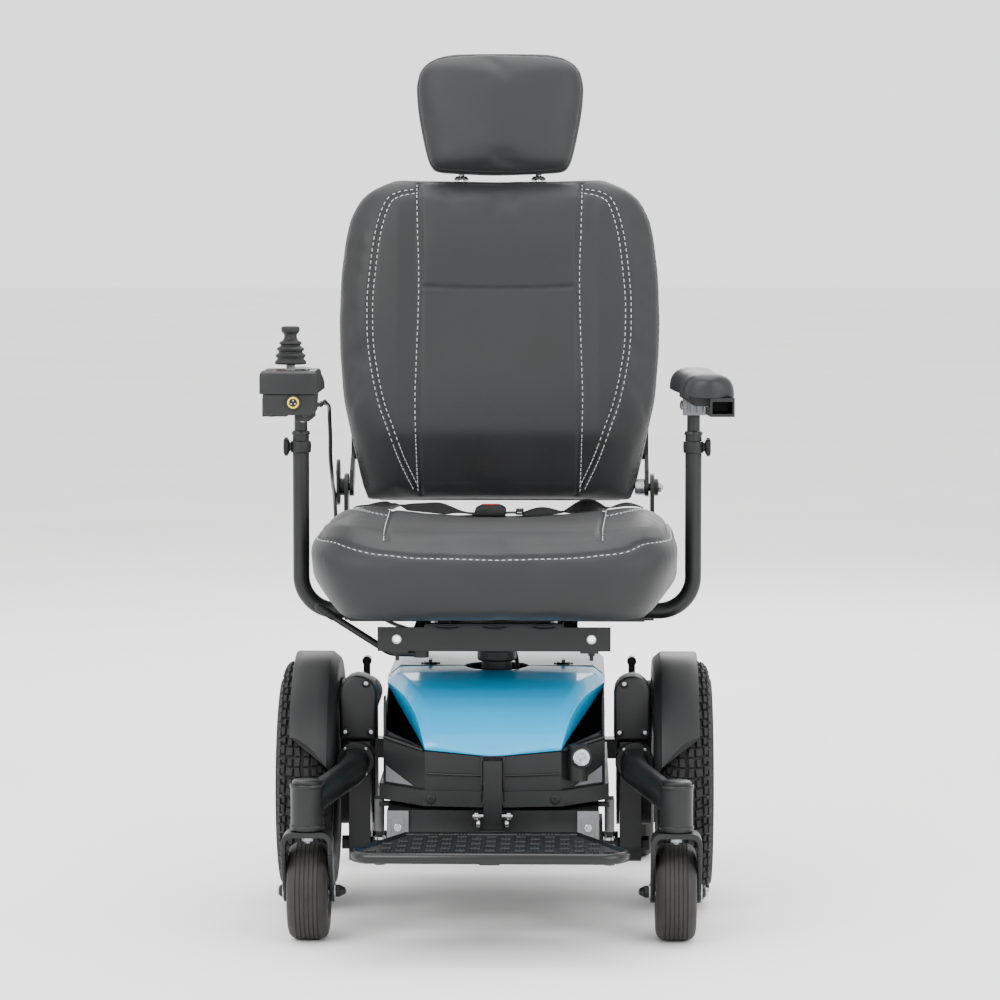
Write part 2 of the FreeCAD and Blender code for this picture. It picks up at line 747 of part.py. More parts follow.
def seat_frame():
    plate = prism_z(both([(75, post_y + 75), (75, post_y - 75)]), seat_plate_z, seat_plate_z + 6)
    rail_z = seat_plate_z + 6
    socket_bottom = arm_leg_z - socket_half
    back_bar_y = hinge_y - 11
    bar_top = seat_bar_bottom + seat_bar_height
    bar = block(-seat_bar_length / 2, seat_bar_length / 2, seat_bar_y, seat_bar_y + seat_bar_wall,
                seat_bar_bottom, bar_top)
    for side in (-1, 1):
        x = side * seat_bar_hole_spacing / 2
        bar = bar.cut(rod((x, seat_bar_y - 5, seat_bar_bottom + 17), (x, seat_bar_y + 15, seat_bar_bottom + 17),
                          seat_bar_hole_radius))
    shelf = block(-92, 92, seat_bar_y, seat_bar_y + 30, bar_top - 4, bar_top)
    solids = [plate, bar, shelf]
    for side in (-1, 1):
        x0, x1 = sorted((side * 92, side * 118))
        solids.append(block(x0, x1, seat_bar_y + 2, back_bar_y + 5, rail_z, socket_bottom))
        x0, x1 = sorted((side * 60, side * 100))
        solids.append(block(x0, x1, post_y - 60, post_y + 60, seat_plate_z, rail_z + 4))
        x0, x1 = sorted((side * 92, side * 215))
        solids.append(block(x0, x1, arm_y - socket_half, arm_y + socket_half, socket_bottom,
                            arm_leg_z + socket_half))
        x0, x1 = sorted((side * 226, side * (226 + hinge_plate)))
        solids.append(prism_x(
            [(back_bar_y, rail_z), (back_bar_y + 25, rail_z), (hinge_y + 20, hinge_z - 20),
             ((hinge_y, hinge_z + 20), (hinge_y - 20, hinge_z)), (hinge_y - 18, cushion_bottom)], x0, x1))
        x0, x1 = sorted((side * (seat_bar_hole_spacing / 2 - 16), side * (seat_bar_hole_spacing / 2 + 10)))
        solids.append(block(x0, x1, seat_bar_y, seat_bar_y + 24, seat_bar_bottom - 3, seat_bar_bottom))
    solids.append(block(-229, 229, back_bar_y, back_bar_y + 25, rail_z, rail_z + 25))
    pan_z = bar_top
    solids.append(block(-98, 98, seat_bar_y - 2, cushion_rear - 15, pan_z, pan_z + 4))
    for side in (-1, 1):
        x0, x1 = sorted((side * 62, side * 90))
        solids.append(block(x0, x1, seat_bar_y + 10, cushion_rear - 25, pan_z + 4, cushion_bottom - 0.2))
    for y in (seat_bar_y + 8, 0, cushion_rear - 45):
        solids.append(block(-112, 112, y, y + 20, socket_bottom - 8, pan_z))
    frame = fuse(*solids)
    for side in (-1, 1):
        frame = frame.cut(rod((side * 84, arm_y, arm_leg_z), (side * 260, arm_y, arm_leg_z), arm_outer_radius + fit))
        pin_hole = rod((side * 200, hinge_y, hinge_z), (side * 245, hinge_y, hinge_z), hinge_pin_radius + fit)
        frame = frame.cut(pin_hole)
    keep("seat_frame", frame)


def swivel_lever():
    """Bent release rod under the seat's right front corner."""
    x, y, z = -104, -128, seat_plate_z - 7
    hub = Part.makeCylinder(11, 10, V(x, y, z - 4))
    rod_z = z + 1
    lever = bent_tube(
        [(x, y, rod_z), (-148, y, rod_z + 1), (-249, y - 6, cushion_bottom + 6)], 5, 30)
    tip = Part.makeSphere(5, V(-249, y - 6, cushion_bottom + 6))
    keep("swivel_lever", fuse(hub, lever, tip))


def seat_cushion():
    side = cushion_width / 2
    low = cushion_bottom_width / 2
    z0, z1 = cushion_bottom, cushion_top
    front_view = both([(low - 20, z0), (low, z0 + 8), (side, z1 - 42), ((side - 6, z1 - 12), (side - 30, z1))])
    y0, y1 = cushion_front, cushion_rear
    side_view = [
        (y0 + 14, z0), (y1 - 4, z0), (y1, z0 + 10), (y1, z1 - 14), ((y1 - 6, z1 - 4), (y1 - 22, z1)),
        (y0 + 90, z1), ((y0 + 26, z1 - 14), (y0, z1 - 46)), (y0 + 4, z0 + 14)]
    body = prism_y(front_view, y0 - 1, y1 + 1).common(prism_x(side_view, -side - 1, side + 1))
    keep("seat_cushion", body)


def lap_belt():
    """Two webbing straps laid across the seat, with buckle and tongue between them."""
    z = cushion_top + skin_gap
    straps = []
    for side in (-1, 1):
        x0, x1 = sorted((side * 34, side * 216))
        straps.append(block(x0, x1, 88, 136, z, z + 3))
    buckle = block(-33.5, 8, 86, 138, z, z + 16)
    tongue = block(8.5, 33.5, 94, 130, z, z + 9)
    keep("lap_belt", *straps, buckle, tongue)


# ---- backrest: drawn upright about the hinge line, then leaned back ----
def lean(shape):
    shape.translate(V(0, hinge_y, hinge_z))
    shape.rotate(V(0, hinge_y, hinge_z), V(1, 0, 0), -back_lean)
    return shape


back_rear = back_front + back_thickness


def back_outline(inset):
    top = back_height - inset
    half = back_width / 2 - inset
    return both([
        (half - 46, -30 + inset), (half - 26, 52), (half - 8, 128), ((half, 232), (half - 12, 370)),
        ((half - 34, top - 18), (half - 84, top)), (0, top)])


def backrest():
    body = prism_y(back_outline(0), back_front, back_rear)
    side_view = [
        (back_front, 78), (back_front + 36, -20), (back_rear, -31), (back_rear, back_height - 26),
        ((back_rear - 10, back_height - 6), (back_rear - 30, back_height)), (back_front + 40, back_height),
        ((back_front + 12, back_height - 10), (back_front, back_height - 40))]
    body = body.common(prism_x(side_view, -400, 400))
    for side in (-1, 1):
        x = side * headrest_post_spacing / 2
        body = body.cut(rod((x, headrest_post_y, back_height - 215), (x, headrest_post_y, back_height + 5),
                            headrest_post_radius + fit))
    keep("backrest", lean(body))




def back_frame():
    """Hinge arms, pins and the shell behind the back cushion."""
    shell_y = back_rear + skin_gap
    shell = prism_y(back_outline(12), shell_y, shell_y + 8)
    pieces = [shell]
    for side in (-1, 1):
        x0, x1 = sorted((side * 218, side * (218 + hinge_plate)))
        arm = prism_x(
            [(-14, 0), ((0, -14), (14, 0)), (shell_y + 8, 24), (shell_y + 8, 130), (shell_y, 130), (shell_y, 54),
             (-9, 24)], x0, x1)
        x0, x1 = sorted((side * 190, side * (218 + hinge_plate)))
        strap = block(x0, x1, shell_y, shell_y + 8, 44, 126)
        pin = rod((side * 218, 0, 0), (side * 236, 0, 0), hinge_pin_radius)
        head = rod((side * 232.6, 0, 0), (side * 238, 0, 0), 13)
        pieces += [arm, strap, pin, head]
    keep("back_frame", lean(fuse(*pieces)))




def headrest():
    z0 = back_height + headrest_gap
    z1 = z0 + headrest_height
    half = headrest_width / 2
    face = both([
        (half - 34, z0), ((half - 22, z0 + 5), (half - 16, z0 + 18)), (half - 2, z1 - 62),
        ((half - 5, z1 - 22), (half - 38, z1 - 4)), (0, z1)])
    y0 = -66
    y1 = y0 + headrest_thickness
    body = prism_y(face, y0, y1)
    side_view = [
        (y0 + 16, z0 - 1), (y1 - 12, z0 - 1), (y1, z0 + 24), (y1, z1 - 46), ((y1 - 10, z1 - 12), (y1 - 34, z1 + 1)),
        (y0 + 34, z1 + 1), ((y0 + 8, z1 - 14), (y0, z1 - 46)), (y0, z0 + 26)]
    body = body.common(prism_x(side_view, -400, 400))
    posts = []
    for side in (-1, 1):
        x = side * headrest_post_spacing / 2
        bottom = back_height - headrest_post_length
        hole = rod((x, headrest_post_y, bottom), (x, headrest_post_y, z0 + 60), headrest_post_radius)
        body = body.cut(hole)
        posts.append(lean(hole))
    keep("headrest", lean(body))
    keep("headrest_posts", *posts)


# ---- armrests ----
def arm_tube():
    """Outer tube: level leg in its seat socket, bend, and upright."""
    tube = bent_tube(
        [(128, arm_y, arm_leg_z), (arm_x, arm_y, arm_leg_z), (arm_x, arm_y, arm_outer_top)],
        arm_outer_radius, arm_bend)
    bore = rod((arm_x, arm_y, arm_leg_z + 72), (arm_x, arm_y, arm_outer_top + 1), arm_inner_radius + fit)
    return tube.cut(bore)


knob_z = arm_outer_top - 19


def arm_knob():
    x = arm_x + arm_outer_radius + skin_gap
    return turned_x([(x, 0), (x, 7), (x + 3, 12), (x + 11, 12), (x + 13, 10), (x + 13, 0)], arm_y, knob_z)


def arm_post():
    post = rod((arm_x, arm_y, arm_leg_z + 80), (arm_x, arm_y, arm_pivot_z - 15), arm_inner_radius)
    head = block(arm_x - 8, arm_x + 8, arm_y - 9, arm_y + 9, arm_pivot_z - 18, arm_pivot_z)
    eye = rod((arm_x - 8, arm_y, arm_pivot_z), (arm_x + 8, arm_y, arm_pivot_z), 9)
    pin = rod((arm_x - 20, arm_y, arm_pivot_z), (arm_x + 20, arm_y, arm_pivot_z), 4)
    return fuse(post, head, eye, pin)


def flared(shape, degrees):
    shape.rotate(V(arm_x, arm_y, 0), V(0, 0, 1), degrees)
    return shape


def pad_base(flare):
    """Hinge cheeks, beam under the pad and, at the front, an open square channel."""
    low = arm_pivot_z + 12
    high = arm_pad_top - 30
    front = arm_y + 20 - arm_pad_length
    beam = block(arm_x - 20, arm_x + 20, front + 20, arm_y + 12, low, high)
    channel = block(arm_x, arm_x + 34, front + 2, front + 80, high - 26, high)
    window = block(arm_x + 3, arm_x + 31, front - 5, front + 70, high - 22, high - 5)
    body = flared(fuse(beam, channel).cut(window), flare)
    for x0 in (arm_x - 14.5, arm_x + 8.5):
        cheek = prism_x(
            [(arm_y - 12, low + 4), (arm_y - 11, arm_pivot_z), ((arm_y, arm_pivot_z - 11), (arm_y + 11, arm_pivot_z)),
             (arm_y + 12, low + 4)], x0, x0 + 6)
        body = body.fuse(cheek)
    pin_hole = rod((arm_x - 30, arm_y, arm_pivot_z), (arm_x + 30, arm_y, arm_pivot_z), 4 + fit)
    clearance = block(arm_x - 8.5, arm_x + 8.5, arm_y - 14, arm_y + 14, arm_pivot_z - 30, low)
    return body.removeSplitter().cut(pin_hole).cut(clearance)


def arm_pad(flare):
    half = arm_pad_width / 2
    front = arm_y + 20 - arm_pad_length
    top = arm_pad_top
    low = top - 30 + 0.2
    section = [
        (arm_x - half + 8, low), (arm_x + half - 8, low), ((arm_x + half - 1, low + 6), (arm_x + half, low + 15)),
        ((arm_x + half - 5, top - 4), (arm_x + half - 20, top)), (arm_x - half + 20, top),
        ((arm_x - half + 5, top - 4), (arm_x - half, low + 15)), ((arm_x - half + 1, low + 6), (arm_x - half + 8, low))]
    body = prism_y(section, front, front + arm_pad_length)
    plan = prism_z(
        [(arm_x - half + 20, front), (arm_x + half - 20, front), ((arm_x + half - 5, front + 6), (arm_x + half, front + 24)),
         (arm_x + half, front + arm_pad_length - 24), ((arm_x + half - 6, front + arm_pad_length - 6),
                                                      (arm_x + half - 22, front + arm_pad_length)),
         (arm_x - half + 22, front + arm_pad_length), ((arm_x - half + 6, front + arm_pad_length - 6),
                                                      (arm_x - half, front + arm_pad_length - 24)),
         (arm_x - half, front + 24), ((arm_x - half + 5, front + 6), (arm_x - half + 20, front))], low - 1, top + 1)
    return flared(body.common(plan), flare)


def armrests():
    keep_pair("arm_tube", arm_tube())
    keep_pair("arm_knob", arm_knob())
    keep_pair("arm_post", arm_post())
    keep("left_pad_base", pad_base(arm_flare))
    keep("left_arm_pad", arm_pad(arm_flare))
    keep("right_pad_base", mirror(pad_base(0)))
    keep("right_arm_pad", mirror(arm_pad(0)))


# ---- controller ----
gimbal_z = case_top - 15
button_y = case_front + 22


def controller():
    half = case_width / 2
    x = case_x
    rear = case_front + case_depth
    side_view = [
        (case_front + 6, case_bottom), (rear - 8, case_bottom), (rear, case_bottom + 8), (rear, case_top),
        (case_front + 20, case_top), (case_front, case_top - 12), (case_front, case_bottom + 26)]
    front_view = [
        (x - half + 8, case_bottom), (x + half - 8, case_bottom), (x + half - 6, case_bottom + 24),
        (x + half, case_bottom + 28), (x + half, case_top - 6), (x + half - 6, case_top), (x - half + 6, case_top),
        (x - half, case_top - 6), (x - half, case_bottom + 28), (x - half + 6, case_bottom + 24)]
    case = prism_x(side_view, x - half, x + half)
    case = case.common(prism_y(front_view, case_front - 1, rear + 1))
    dish = Part.makeCylinder(dish_radius, dish_depth + 16, V(x, stick_y, case_top - dish_depth))
    case = case.cut(dish)
    trunnion = rod((x - 34, stick_y, gimbal_z), (x + 34, stick_y, gimbal_z), 2.5)
    case = case.fuse(trunnion.cut(Part.makeBox(36, 60, 60, V(x - 18, stick_y - 30, gimbal_z - 30))))
    button_x = x + 22
    button_hole = Part.makeCylinder(button_radius + fit, 30, V(button_x, button_y, case_top - 16))
    case = case.cut(button_hole)
    mount = block(x + 4, x + 24, rear - 34, front_of_right_arm() + 26, case_bottom - 12, case_bottom - 0.2)
    rib = block(x + 4, x + 24, rear - 34, rear - 4, case_bottom - 12, case_bottom)
    keep("controller_case", fuse(case, mount, rib))
    # gimbal ring: turns about X in the case, and carries the stick's pins
    ring = rod((x, stick_y, gimbal_z - 4), (x, stick_y, gimbal_z + 4), 17)
    ring = ring.cut(rod((x, stick_y, gimbal_z - 5), (x, stick_y, gimbal_z + 5), 12))
    ring = ring.cut(rod((x - 30, stick_y, gimbal_z), (x + 30, stick_y, gimbal_z), 2.5 + fit))
    pins = rod((x, stick_y - 14, gimbal_z), (x, stick_y + 14, gimbal_z), 2.5)
    pins = pins.cut(Part.makeBox(60, 17, 60, V(x - 30, stick_y - 8.5, gimbal_z - 30)))
    keep("joystick_gimbal", fuse(ring, pins).removeSplitter())
    ball = Part.makeSphere(10.5, V(x, stick_y, gimbal_z))
    ball = ball.cut(rod((x, stick_y - 30, gimbal_z), (x, stick_y + 30, gimbal_z), 2.5 + fit))
    skirt = case_top + skirt_gap
    shaft = turned_z([(0, gimbal_z + 8), (6, gimbal_z + 8), (6, skirt), (0, skirt)], x, stick_y)
    keep("joystick_pivot", fuse(ball, shaft))
    # bellows and grip, standing on the shaft
    top = stick_top
    stick = turned_z(
        [(0, skirt), (20.5, skirt), (20.5, skirt + 3), (16.5, skirt + 6), (19.5, skirt + 11), (14.5, skirt + 16),
         (17, skirt + 21), (10, skirt + 27), (8.5, top - 14), (12.5, top - 5), (12.5, top - 2), (10, top), (0, top)],
        x, stick_y)
    keep("joystick", stick)
    cap = Part.makeCylinder(button_radius, 14, V(button_x, button_y, case_top - 12))
    keep("power_button", cap)


def front_of_right_arm():
    return arm_y + 20 - arm_pad_length


# ---- cables ----
def arc_radii(points):
    radii = []
    for i in range(1, len(points) - 1):
        come = V(*points[i]) - V(*points[i - 1])
        go = V(*points[i + 1]) - V(*points[i])
        turn = come.getAngle(go)
        radii.append(0.45 * min(come.Length, go.Length) / math.tan(turn / 2))
    return radii


arm_cable_route = [
    (-252, -291.2, 742), (-249, -262, 740), (-246, -222, 736), (-247, -174, 733), (-245, -126, 731),
    (-246, -80, 732), (-245, -38, 730), (-245.5, 0, 726), (-245.5, 35.5, 722)]
seat_cable_route = [
    (-245.5, 44.5, 721), (-245.5, 62, 718), (-246, 76, 700), (-245, 82, 672), (-246, 90, 644),
    (-245, 112, 616), (-246, 150, 596), (-246, 192, 580), (-247, 225, 552), (-246, 246, 512), (-240, 252, 464),
    (-218, 249, 418), (-176, 238, 386), (-128, 212, 372), (-82, 180, 367), (-42, 142, 366), (-4, 106, 367),
    (22, 76, 366), (29, 50, 354), (31, 34, 328)]


def cable(name, route):
    radii = arc_radii(route)
    tube = swept(route, cable_radius, radii)
    print(name, "radii", [round(r) for r in radii])
    keep(name, tube)


def build():
    main_frame()
    batteries()
    lower_cover()
    shrouds()
    struts()
    footplate()
    footplate_bracket()
    casters()
    rear_beam()
    rocker_arm()
    fender()
    gearbox()
    motor()
    release_lever()
    drive_wheel()
    seat_post()
    seat_frame()
    swivel_lever()
    seat_cushion()
    lap_belt()
    backrest()
    back_frame()
    headrest()
    armrests()
    controller()
    cable("controller_cable", arm_cable_route)
    cable("seat_cable", seat_cable_route)
    os.makedirs("parts", exist_ok=True)
    for name, shape in nodes.items():
        shape.exportStep("parts/" + name + ".step")
        solids = len(shape.Solids)
        print(f"{name:20s} {solids:2d} solids {shape.Volume / 1000:9.1f} cm3 {'' if shape.isValid() else 'INVALID'}")


build()
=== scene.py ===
import bpy
import bmesh
import json
import math
import numpy as np
from mathutils import Matrix, Vector
from mathutils.bvhtree import BVHTree
from mathutils.kdtree import KDTree

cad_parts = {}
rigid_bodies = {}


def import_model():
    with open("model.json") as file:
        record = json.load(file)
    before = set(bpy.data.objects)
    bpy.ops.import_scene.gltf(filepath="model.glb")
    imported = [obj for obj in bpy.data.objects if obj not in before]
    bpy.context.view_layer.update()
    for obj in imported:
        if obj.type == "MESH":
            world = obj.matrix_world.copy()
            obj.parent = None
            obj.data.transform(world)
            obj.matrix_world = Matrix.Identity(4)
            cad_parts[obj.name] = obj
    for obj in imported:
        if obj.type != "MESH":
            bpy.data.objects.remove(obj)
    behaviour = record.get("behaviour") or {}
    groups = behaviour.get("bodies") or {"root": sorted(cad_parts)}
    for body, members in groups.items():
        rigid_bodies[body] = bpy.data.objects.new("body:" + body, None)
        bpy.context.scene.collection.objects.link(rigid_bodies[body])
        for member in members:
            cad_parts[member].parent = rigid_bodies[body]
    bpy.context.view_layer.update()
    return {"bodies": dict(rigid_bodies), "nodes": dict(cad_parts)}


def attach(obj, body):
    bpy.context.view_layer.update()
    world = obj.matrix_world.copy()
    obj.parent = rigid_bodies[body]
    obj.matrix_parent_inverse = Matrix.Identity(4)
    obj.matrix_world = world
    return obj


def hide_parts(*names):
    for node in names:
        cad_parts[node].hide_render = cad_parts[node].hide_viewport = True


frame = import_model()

# Power wheelchair. Piece sizes are written in millimetres and scaled to metres as each piece is finished.
# The chair faces -Y. Left is the sitter's left, +X; pairs are drawn on the left and mirrored.
mm = 0.001


# Camera
cameraSetup = dict(place=(0.113, -5.62, 1.019), lens=140.4, tiltDown=4.4, turnLeft=1.1)
camera = bpy.data.objects.new("camera", bpy.data.cameras.new("camera"))
camera.data.lens = cameraSetup["lens"]
camera.data.sensor_width = 36
camera.location = cameraSetup["place"]
camera.rotation_euler = (math.radians(90 - cameraSetup["tiltDown"]), 0,
                         math.radians(cameraSetup["turnLeft"]))
bpy.context.scene.collection.objects.link(camera)
bpy.context.scene.camera = camera


# Materials
def linearColour(code):
    parts = [int(code[i:i + 2], 16) / 255 for i in (1, 3, 5)]
    return tuple(p / 12.92 if p <= 0.04045 else ((p + 0.055) / 1.055) ** 2.4 for p in parts) + (1.0,)


def addNode(tree, kind, inputs=None, **settings):
    node = tree.nodes.new(kind)
    for key, value in settings.items():
        setattr(node, key, value)
    for key, value in (inputs or {}).items():
        if isinstance(value, bpy.types.NodeSocket):
            tree.links.new(value, node.inputs[key])
        else:
            node.inputs[key].default_value = value
    return node


def newFinish(name, dark, light, patchMm, rough, grainMm, depthMm, grain="noise", edgeMm=0, **fixed):
    # two close colours in patches, a matching spread of roughness, and a grain that stands up by depthMm
    material = bpy.data.materials.new(name)
    material.use_nodes = True
    tree = material.node_tree
    tree.nodes.clear()
    place = addNode(tree, "ShaderNodeTexCoord").outputs["Object"]
    patch = addNode(tree, "ShaderNodeTexNoise", {"Vector": place, "Scale": 1000 / patchMm, "Detail": 5.0})
    spread = addNode(tree, "ShaderNodeMapRange", {"Value": patch.outputs[0], 1: 0.32, 2: 0.68})
    colour = addNode(tree, "ShaderNodeMix",
                     {0: spread.outputs[0], 6: linearColour(dark), 7: linearColour(light)},
                     data_type="RGBA")
    gloss = addNode(tree, "ShaderNodeMapRange",
                    {"Value": patch.outputs[0], 1: 0.3, 2: 0.7, 3: rough[0], 4: rough[1]})
    if grain == "weave":
        waves = [addNode(tree, "ShaderNodeTexWave", {"Vector": place, "Scale": 314 / grainMm,
                                                     "Distortion": 0.3},
                         bands_direction=way).outputs[1] for way in ("X", "Y")]
        height = addNode(tree, "ShaderNodeMath", {0: waves[0], 1: waves[1]},
                         operation="MULTIPLY").outputs[0]
    elif grain == "pebble":
        cells = addNode(tree, "ShaderNodeTexVoronoi", {"Vector": place, "Scale": 1000 / grainMm},
                        feature="SMOOTH_F1")
        creases = addNode(tree, "ShaderNodeTexNoise", {"Vector": place, "Scale": 180 / grainMm,
                                                       "Detail": 6.0})
        height = addNode(tree, "ShaderNodeMath", {0: cells.outputs[0], 1: creases.outputs[0]},
                         operation="ADD").outputs[0]
    else:
        height = addNode(tree, "ShaderNodeTexNoise", {"Vector": place, "Scale": 1000 / grainMm,
                                                      "Detail": 3.0}).outputs[0]
    bump = addNode(tree, "ShaderNodeBump", {"Height": height, "Distance": depthMm * mm, "Strength": 1.0})
    if edgeMm:
        softEdge = addNode(tree, "ShaderNodeBevel", {"Radius": edgeMm * mm}, samples=4)
        tree.links.new(softEdge.outputs[0], bump.inputs["Normal"])
    sockets = {"Base Color": colour.outputs[2], "Roughness": gloss.outputs[0], "Normal": bump.outputs[0]}
    if "Metallic" not in fixed:
        sockets["Specular IOR Level"] = 0.36
    sockets.update(fixed)
    shader = addNode(tree, "ShaderNodeBsdfPrincipled", sockets)
    addNode(tree, "ShaderNodeOutputMaterial", {"Surface": shader.outputs[0]})
    return material


# Powder-coated steel, baked: satin black with a faint orange peel and softly lit edges
powderCoatedSteel = newFinish("powderCoatedSteel", "#0d0e0f", "#151617", 60, (0.36, 0.48), 3, 0.03,
                              edgeMm=1.2)
# The same coat in grey on the base rails: paler, so the rail ends stand out under the black cover. The same
# grey is also a painted highlight on the cover's corner wedges and the left hinge cover
greyCoatAndPaintedHighlight = newFinish("greyCoatAndPaintedHighlight", "#5c5f62", "#6c6f72", 50, (0.4, 0.52), 3, 0.03, edgeMm=1.0)
# ABS, injection moulded in a spark-eroded tool: fine even grain, low sheen
mouldedAbs = newFinish("mouldedAbs", "#0e0f10", "#161718", 80, (0.42, 0.52), 1.6, 0.05, edgeMm=0.8)
# ABS from a polished part of the tool: smoother and glossier
polishedAbs = newFinish("polishedAbs", "#0b0c0d", "#121314", 80, (0.22, 0.32), 4, 0.01, edgeMm=0.8)
# Polypropylene battery case, moulded: grey-black and waxy
mouldedPolypropylene = newFinish("mouldedPolypropylene", "#141516", "#1c1d1f", 70, (0.5, 0.62), 2, 0.04,
                                 edgeMm=1.0)
# Aluminium, sand-cast and painted: coarse skin under a matt coat
paintedCasting = newFinish("paintedCasting", "#17181a", "#202124", 40, (0.45, 0.6), 2.6, 0.14, edgeMm=1.6)
# Tyre rubber, vulcanised in a steel mould: matt, with a dusty bloom
vulcanisedRubber = newFinish("vulcanisedRubber", "#0d0d0e", "#171717", 22, (0.62, 0.82), 2, 0.06)
# Polyurethane caster tyre, cast: greyer than rubber, in lighter and darker patches
castPolyurethane = newFinish("castPolyurethane", "#191817", "#282725", 16, (0.5, 0.72), 1.8, 0.05)
# Glass-filled nylon, injection moulded: dark and faintly streaked
glassFilledNylon = newFinish("glassFilledNylon", "#18191b", "#222325", 30, (0.38, 0.5), 1.6, 0.04,
                             edgeMm=1.0)
# Vinyl upholstery, calendered and embossed: soft charcoal with a fine pebble and a low sheen
embossedVinyl = newFinish("embossedVinyl", "#151617", "#1b1c1e", 130, (0.48, 0.62), 3.2, 0.10,
                          grain="pebble",
                          **{"Sheen Weight": 0.06, "Sheen Roughness": 0.5})
# Polyester sewing thread, twisted: pale grey
twistedThread = newFinish("twistedThread", "#a9abad", "#c6c8ca", 6, (0.6, 0.75), 1, 0.05)
# Polyurethane integral-skin foam: closed, slightly shiny skin
integralSkinFoam = newFinish("integralSkinFoam", "#0f1011", "#17181a", 60, (0.36, 0.48), 2.6, 0.09,
                             grain="pebble")
# Steel, chrome plated and buffed: bright mirror with faint streaks
chromePlate = newFinish("chromePlate", "#c6c9cd", "#dcdfe2", 12, (0.08, 0.18), 2, 0.004, edgeMm=0.5,
                        Metallic=1.0)
# Steel fasteners, zinc plated: duller and cloudier
zincPlate = newFinish("zincPlate", "#9c9fa3", "#b9bcc0", 6, (0.24, 0.4), 1.2, 0.01, edgeMm=0.5,
                      Metallic=1.0)
# Polyester webbing, woven: ribs 3 mm apart, drawn coarser than the real 1 mm so that they show
wovenPolyester = newFinish("wovenPolyester", "#0c0c0d", "#141415", 20, (0.6, 0.75), 3, 0.35, grain="weave")
# Silicone rubber, compression moulded: matt black
mouldedSilicone = newFinish("mouldedSilicone", "#0c0d0e", "#141516", 30, (0.48, 0.62), 1.4, 0.03)
# Acetal, machined: pale grey, waxy
machinedAcetal = newFinish("machinedAcetal", "#8a8c8f", "#999b9e", 30, (0.3, 0.4), 1.4, 0.02)
# Nylon dyed red, moulded: for the freewheel levers
dyedNylon = newFinish("dyedNylon", "#8f1d16", "#a1271d", 30, (0.3, 0.42), 1.5, 0.03, edgeMm=0.6)
# Nylon dyed yellow, moulded: the ring of the charging socket
yellowNylon = newFinish("yellowNylon", "#d9b012", "#e8c21c", 12, (0.35, 0.45), 1.2, 0.02)
# PVC cable sheath, extruded: smooth black with a soft shine
extrudedPvc = newFinish("extrudedPvc", "#0a0b0c", "#111213", 30, (0.3, 0.42), 2, 0.02)
# Polycarbonate lens, moulded clear with facets behind it
clearPolycarbonate = newFinish("clearPolycarbonate", "#dfe9ef", "#f2f7fa", 6, (0.04, 0.1), 3, 0.3,
                               **{"Transmission Weight": 0.55, "IOR": 1.58})
# ABS rear panel, the same cyan lacquer as the front, drawn darker and greyer as painted shade
cyanLacquerPaintedShade = newFinish("cyanLacquerPaintedShade", "#25505f", "#2a5866", 200, (0.34, 0.42), 5, 0.004, edgeMm=1.6,
                           **{"Coat Weight": 0.4, "Coat Roughness": 0.14})
# ABS body panel, sprayed cyan under clear lacquer: deep even blue, sharp soft-box reflections
lacqueredCyan = newFinish("lacqueredCyan", "#0099cf", "#00a2d8", 200, (0.3, 0.36), 5, 0.004, edgeMm=1.6,
                          **{"Coat Weight": 0.5, "Coat Roughness": 0.1})
print("materials ready")


# Drawing pieces
def softenEdges(work, faces, width, steps=2, sharperThan=26):
    # listed in drawing order, so that every run cuts the edges in the same order
    edges = [e for e in dict.fromkeys(e for f in faces for e in f.edges)
             if len(e.link_faces) == 2 and e.calc_face_angle(0) > math.radians(sharperThan)]
    bmesh.ops.bevel(work, geom=edges, offset=width, segments=steps, profile=0.5, affect="EDGES",
                    clamp_overlap=True)


def addPrism(work, outline, axis, low, high, soften=0, finish=0, steps=2):
    # an outline drawn across the other two axes, pulled along this one
    def place(a, b, c):
        return {"x": (c, a, b), "y": (a, c, b), "z": (a, b, c)}[axis]
    ends = [[work.verts.new(place(a, b, level)) for a, b in outline] for level in (low, high)]
    faces = [work.faces.new(ends[0][::-1]), work.faces.new(ends[1])]
    for i in range(len(outline)):
        j = (i + 1) % len(outline)
        faces.append(work.faces.new((ends[0][i], ends[0][j], ends[1][j], ends[1][i])))
    for face in faces:
        face.material_index = finish
    bmesh.ops.recalc_face_normals(work, faces=faces)
    if soften:
        softenEdges(work, faces, soften, steps)


def addBlock(work, low, high, soften=1, finish=0, steps=2):
    addPrism(work, [(low[0], low[1]), (high[0], low[1]), (high[0], high[1]), (low[0], high[1])],
             "z", low[2], high[2], soften, finish, steps)


def frameAlong(direction):
    forward = Vector(direction).normalized()
    side = forward.cross(Vector((0, 0, 1)) if abs(forward.z) < 0.9 else Vector((1, 0, 0))).normalized()
    return side, forward.cross(side).normalized(), forward


def addTurned(work, profile, centre, direction=(0, 0, 1), steps=40, finish=0, start=0, sweep=360):
    # profile points are (radius, distance along the direction)
    side, up, forward = frameAlong(direction)
    closed = sweep == 360
    count = steps if closed else steps + 1
    rings = []
    for radius, along in profile:
        base = Vector(centre) + forward * along
        if radius < 1e-6:
            rings.append([work.verts.new(base)] * count)
            continue
        turns = [math.radians(start + sweep * i / steps) for i in range(count)]
        rings.append([work.verts.new(base + (side * math.cos(t) + up * math.sin(t)) * radius)
                      for t in turns])
    for lower, upper in zip(rings, rings[1:]):
        for i in range(count if closed else count - 1):
            j = (i + 1) % count
            corners = []
            for corner in (lower[i], lower[j], upper[j], upper[i]):
                if corner not in corners:
                    corners.append(corner)
            if len(corners) > 2:
                work.faces.new(corners).material_index = finish


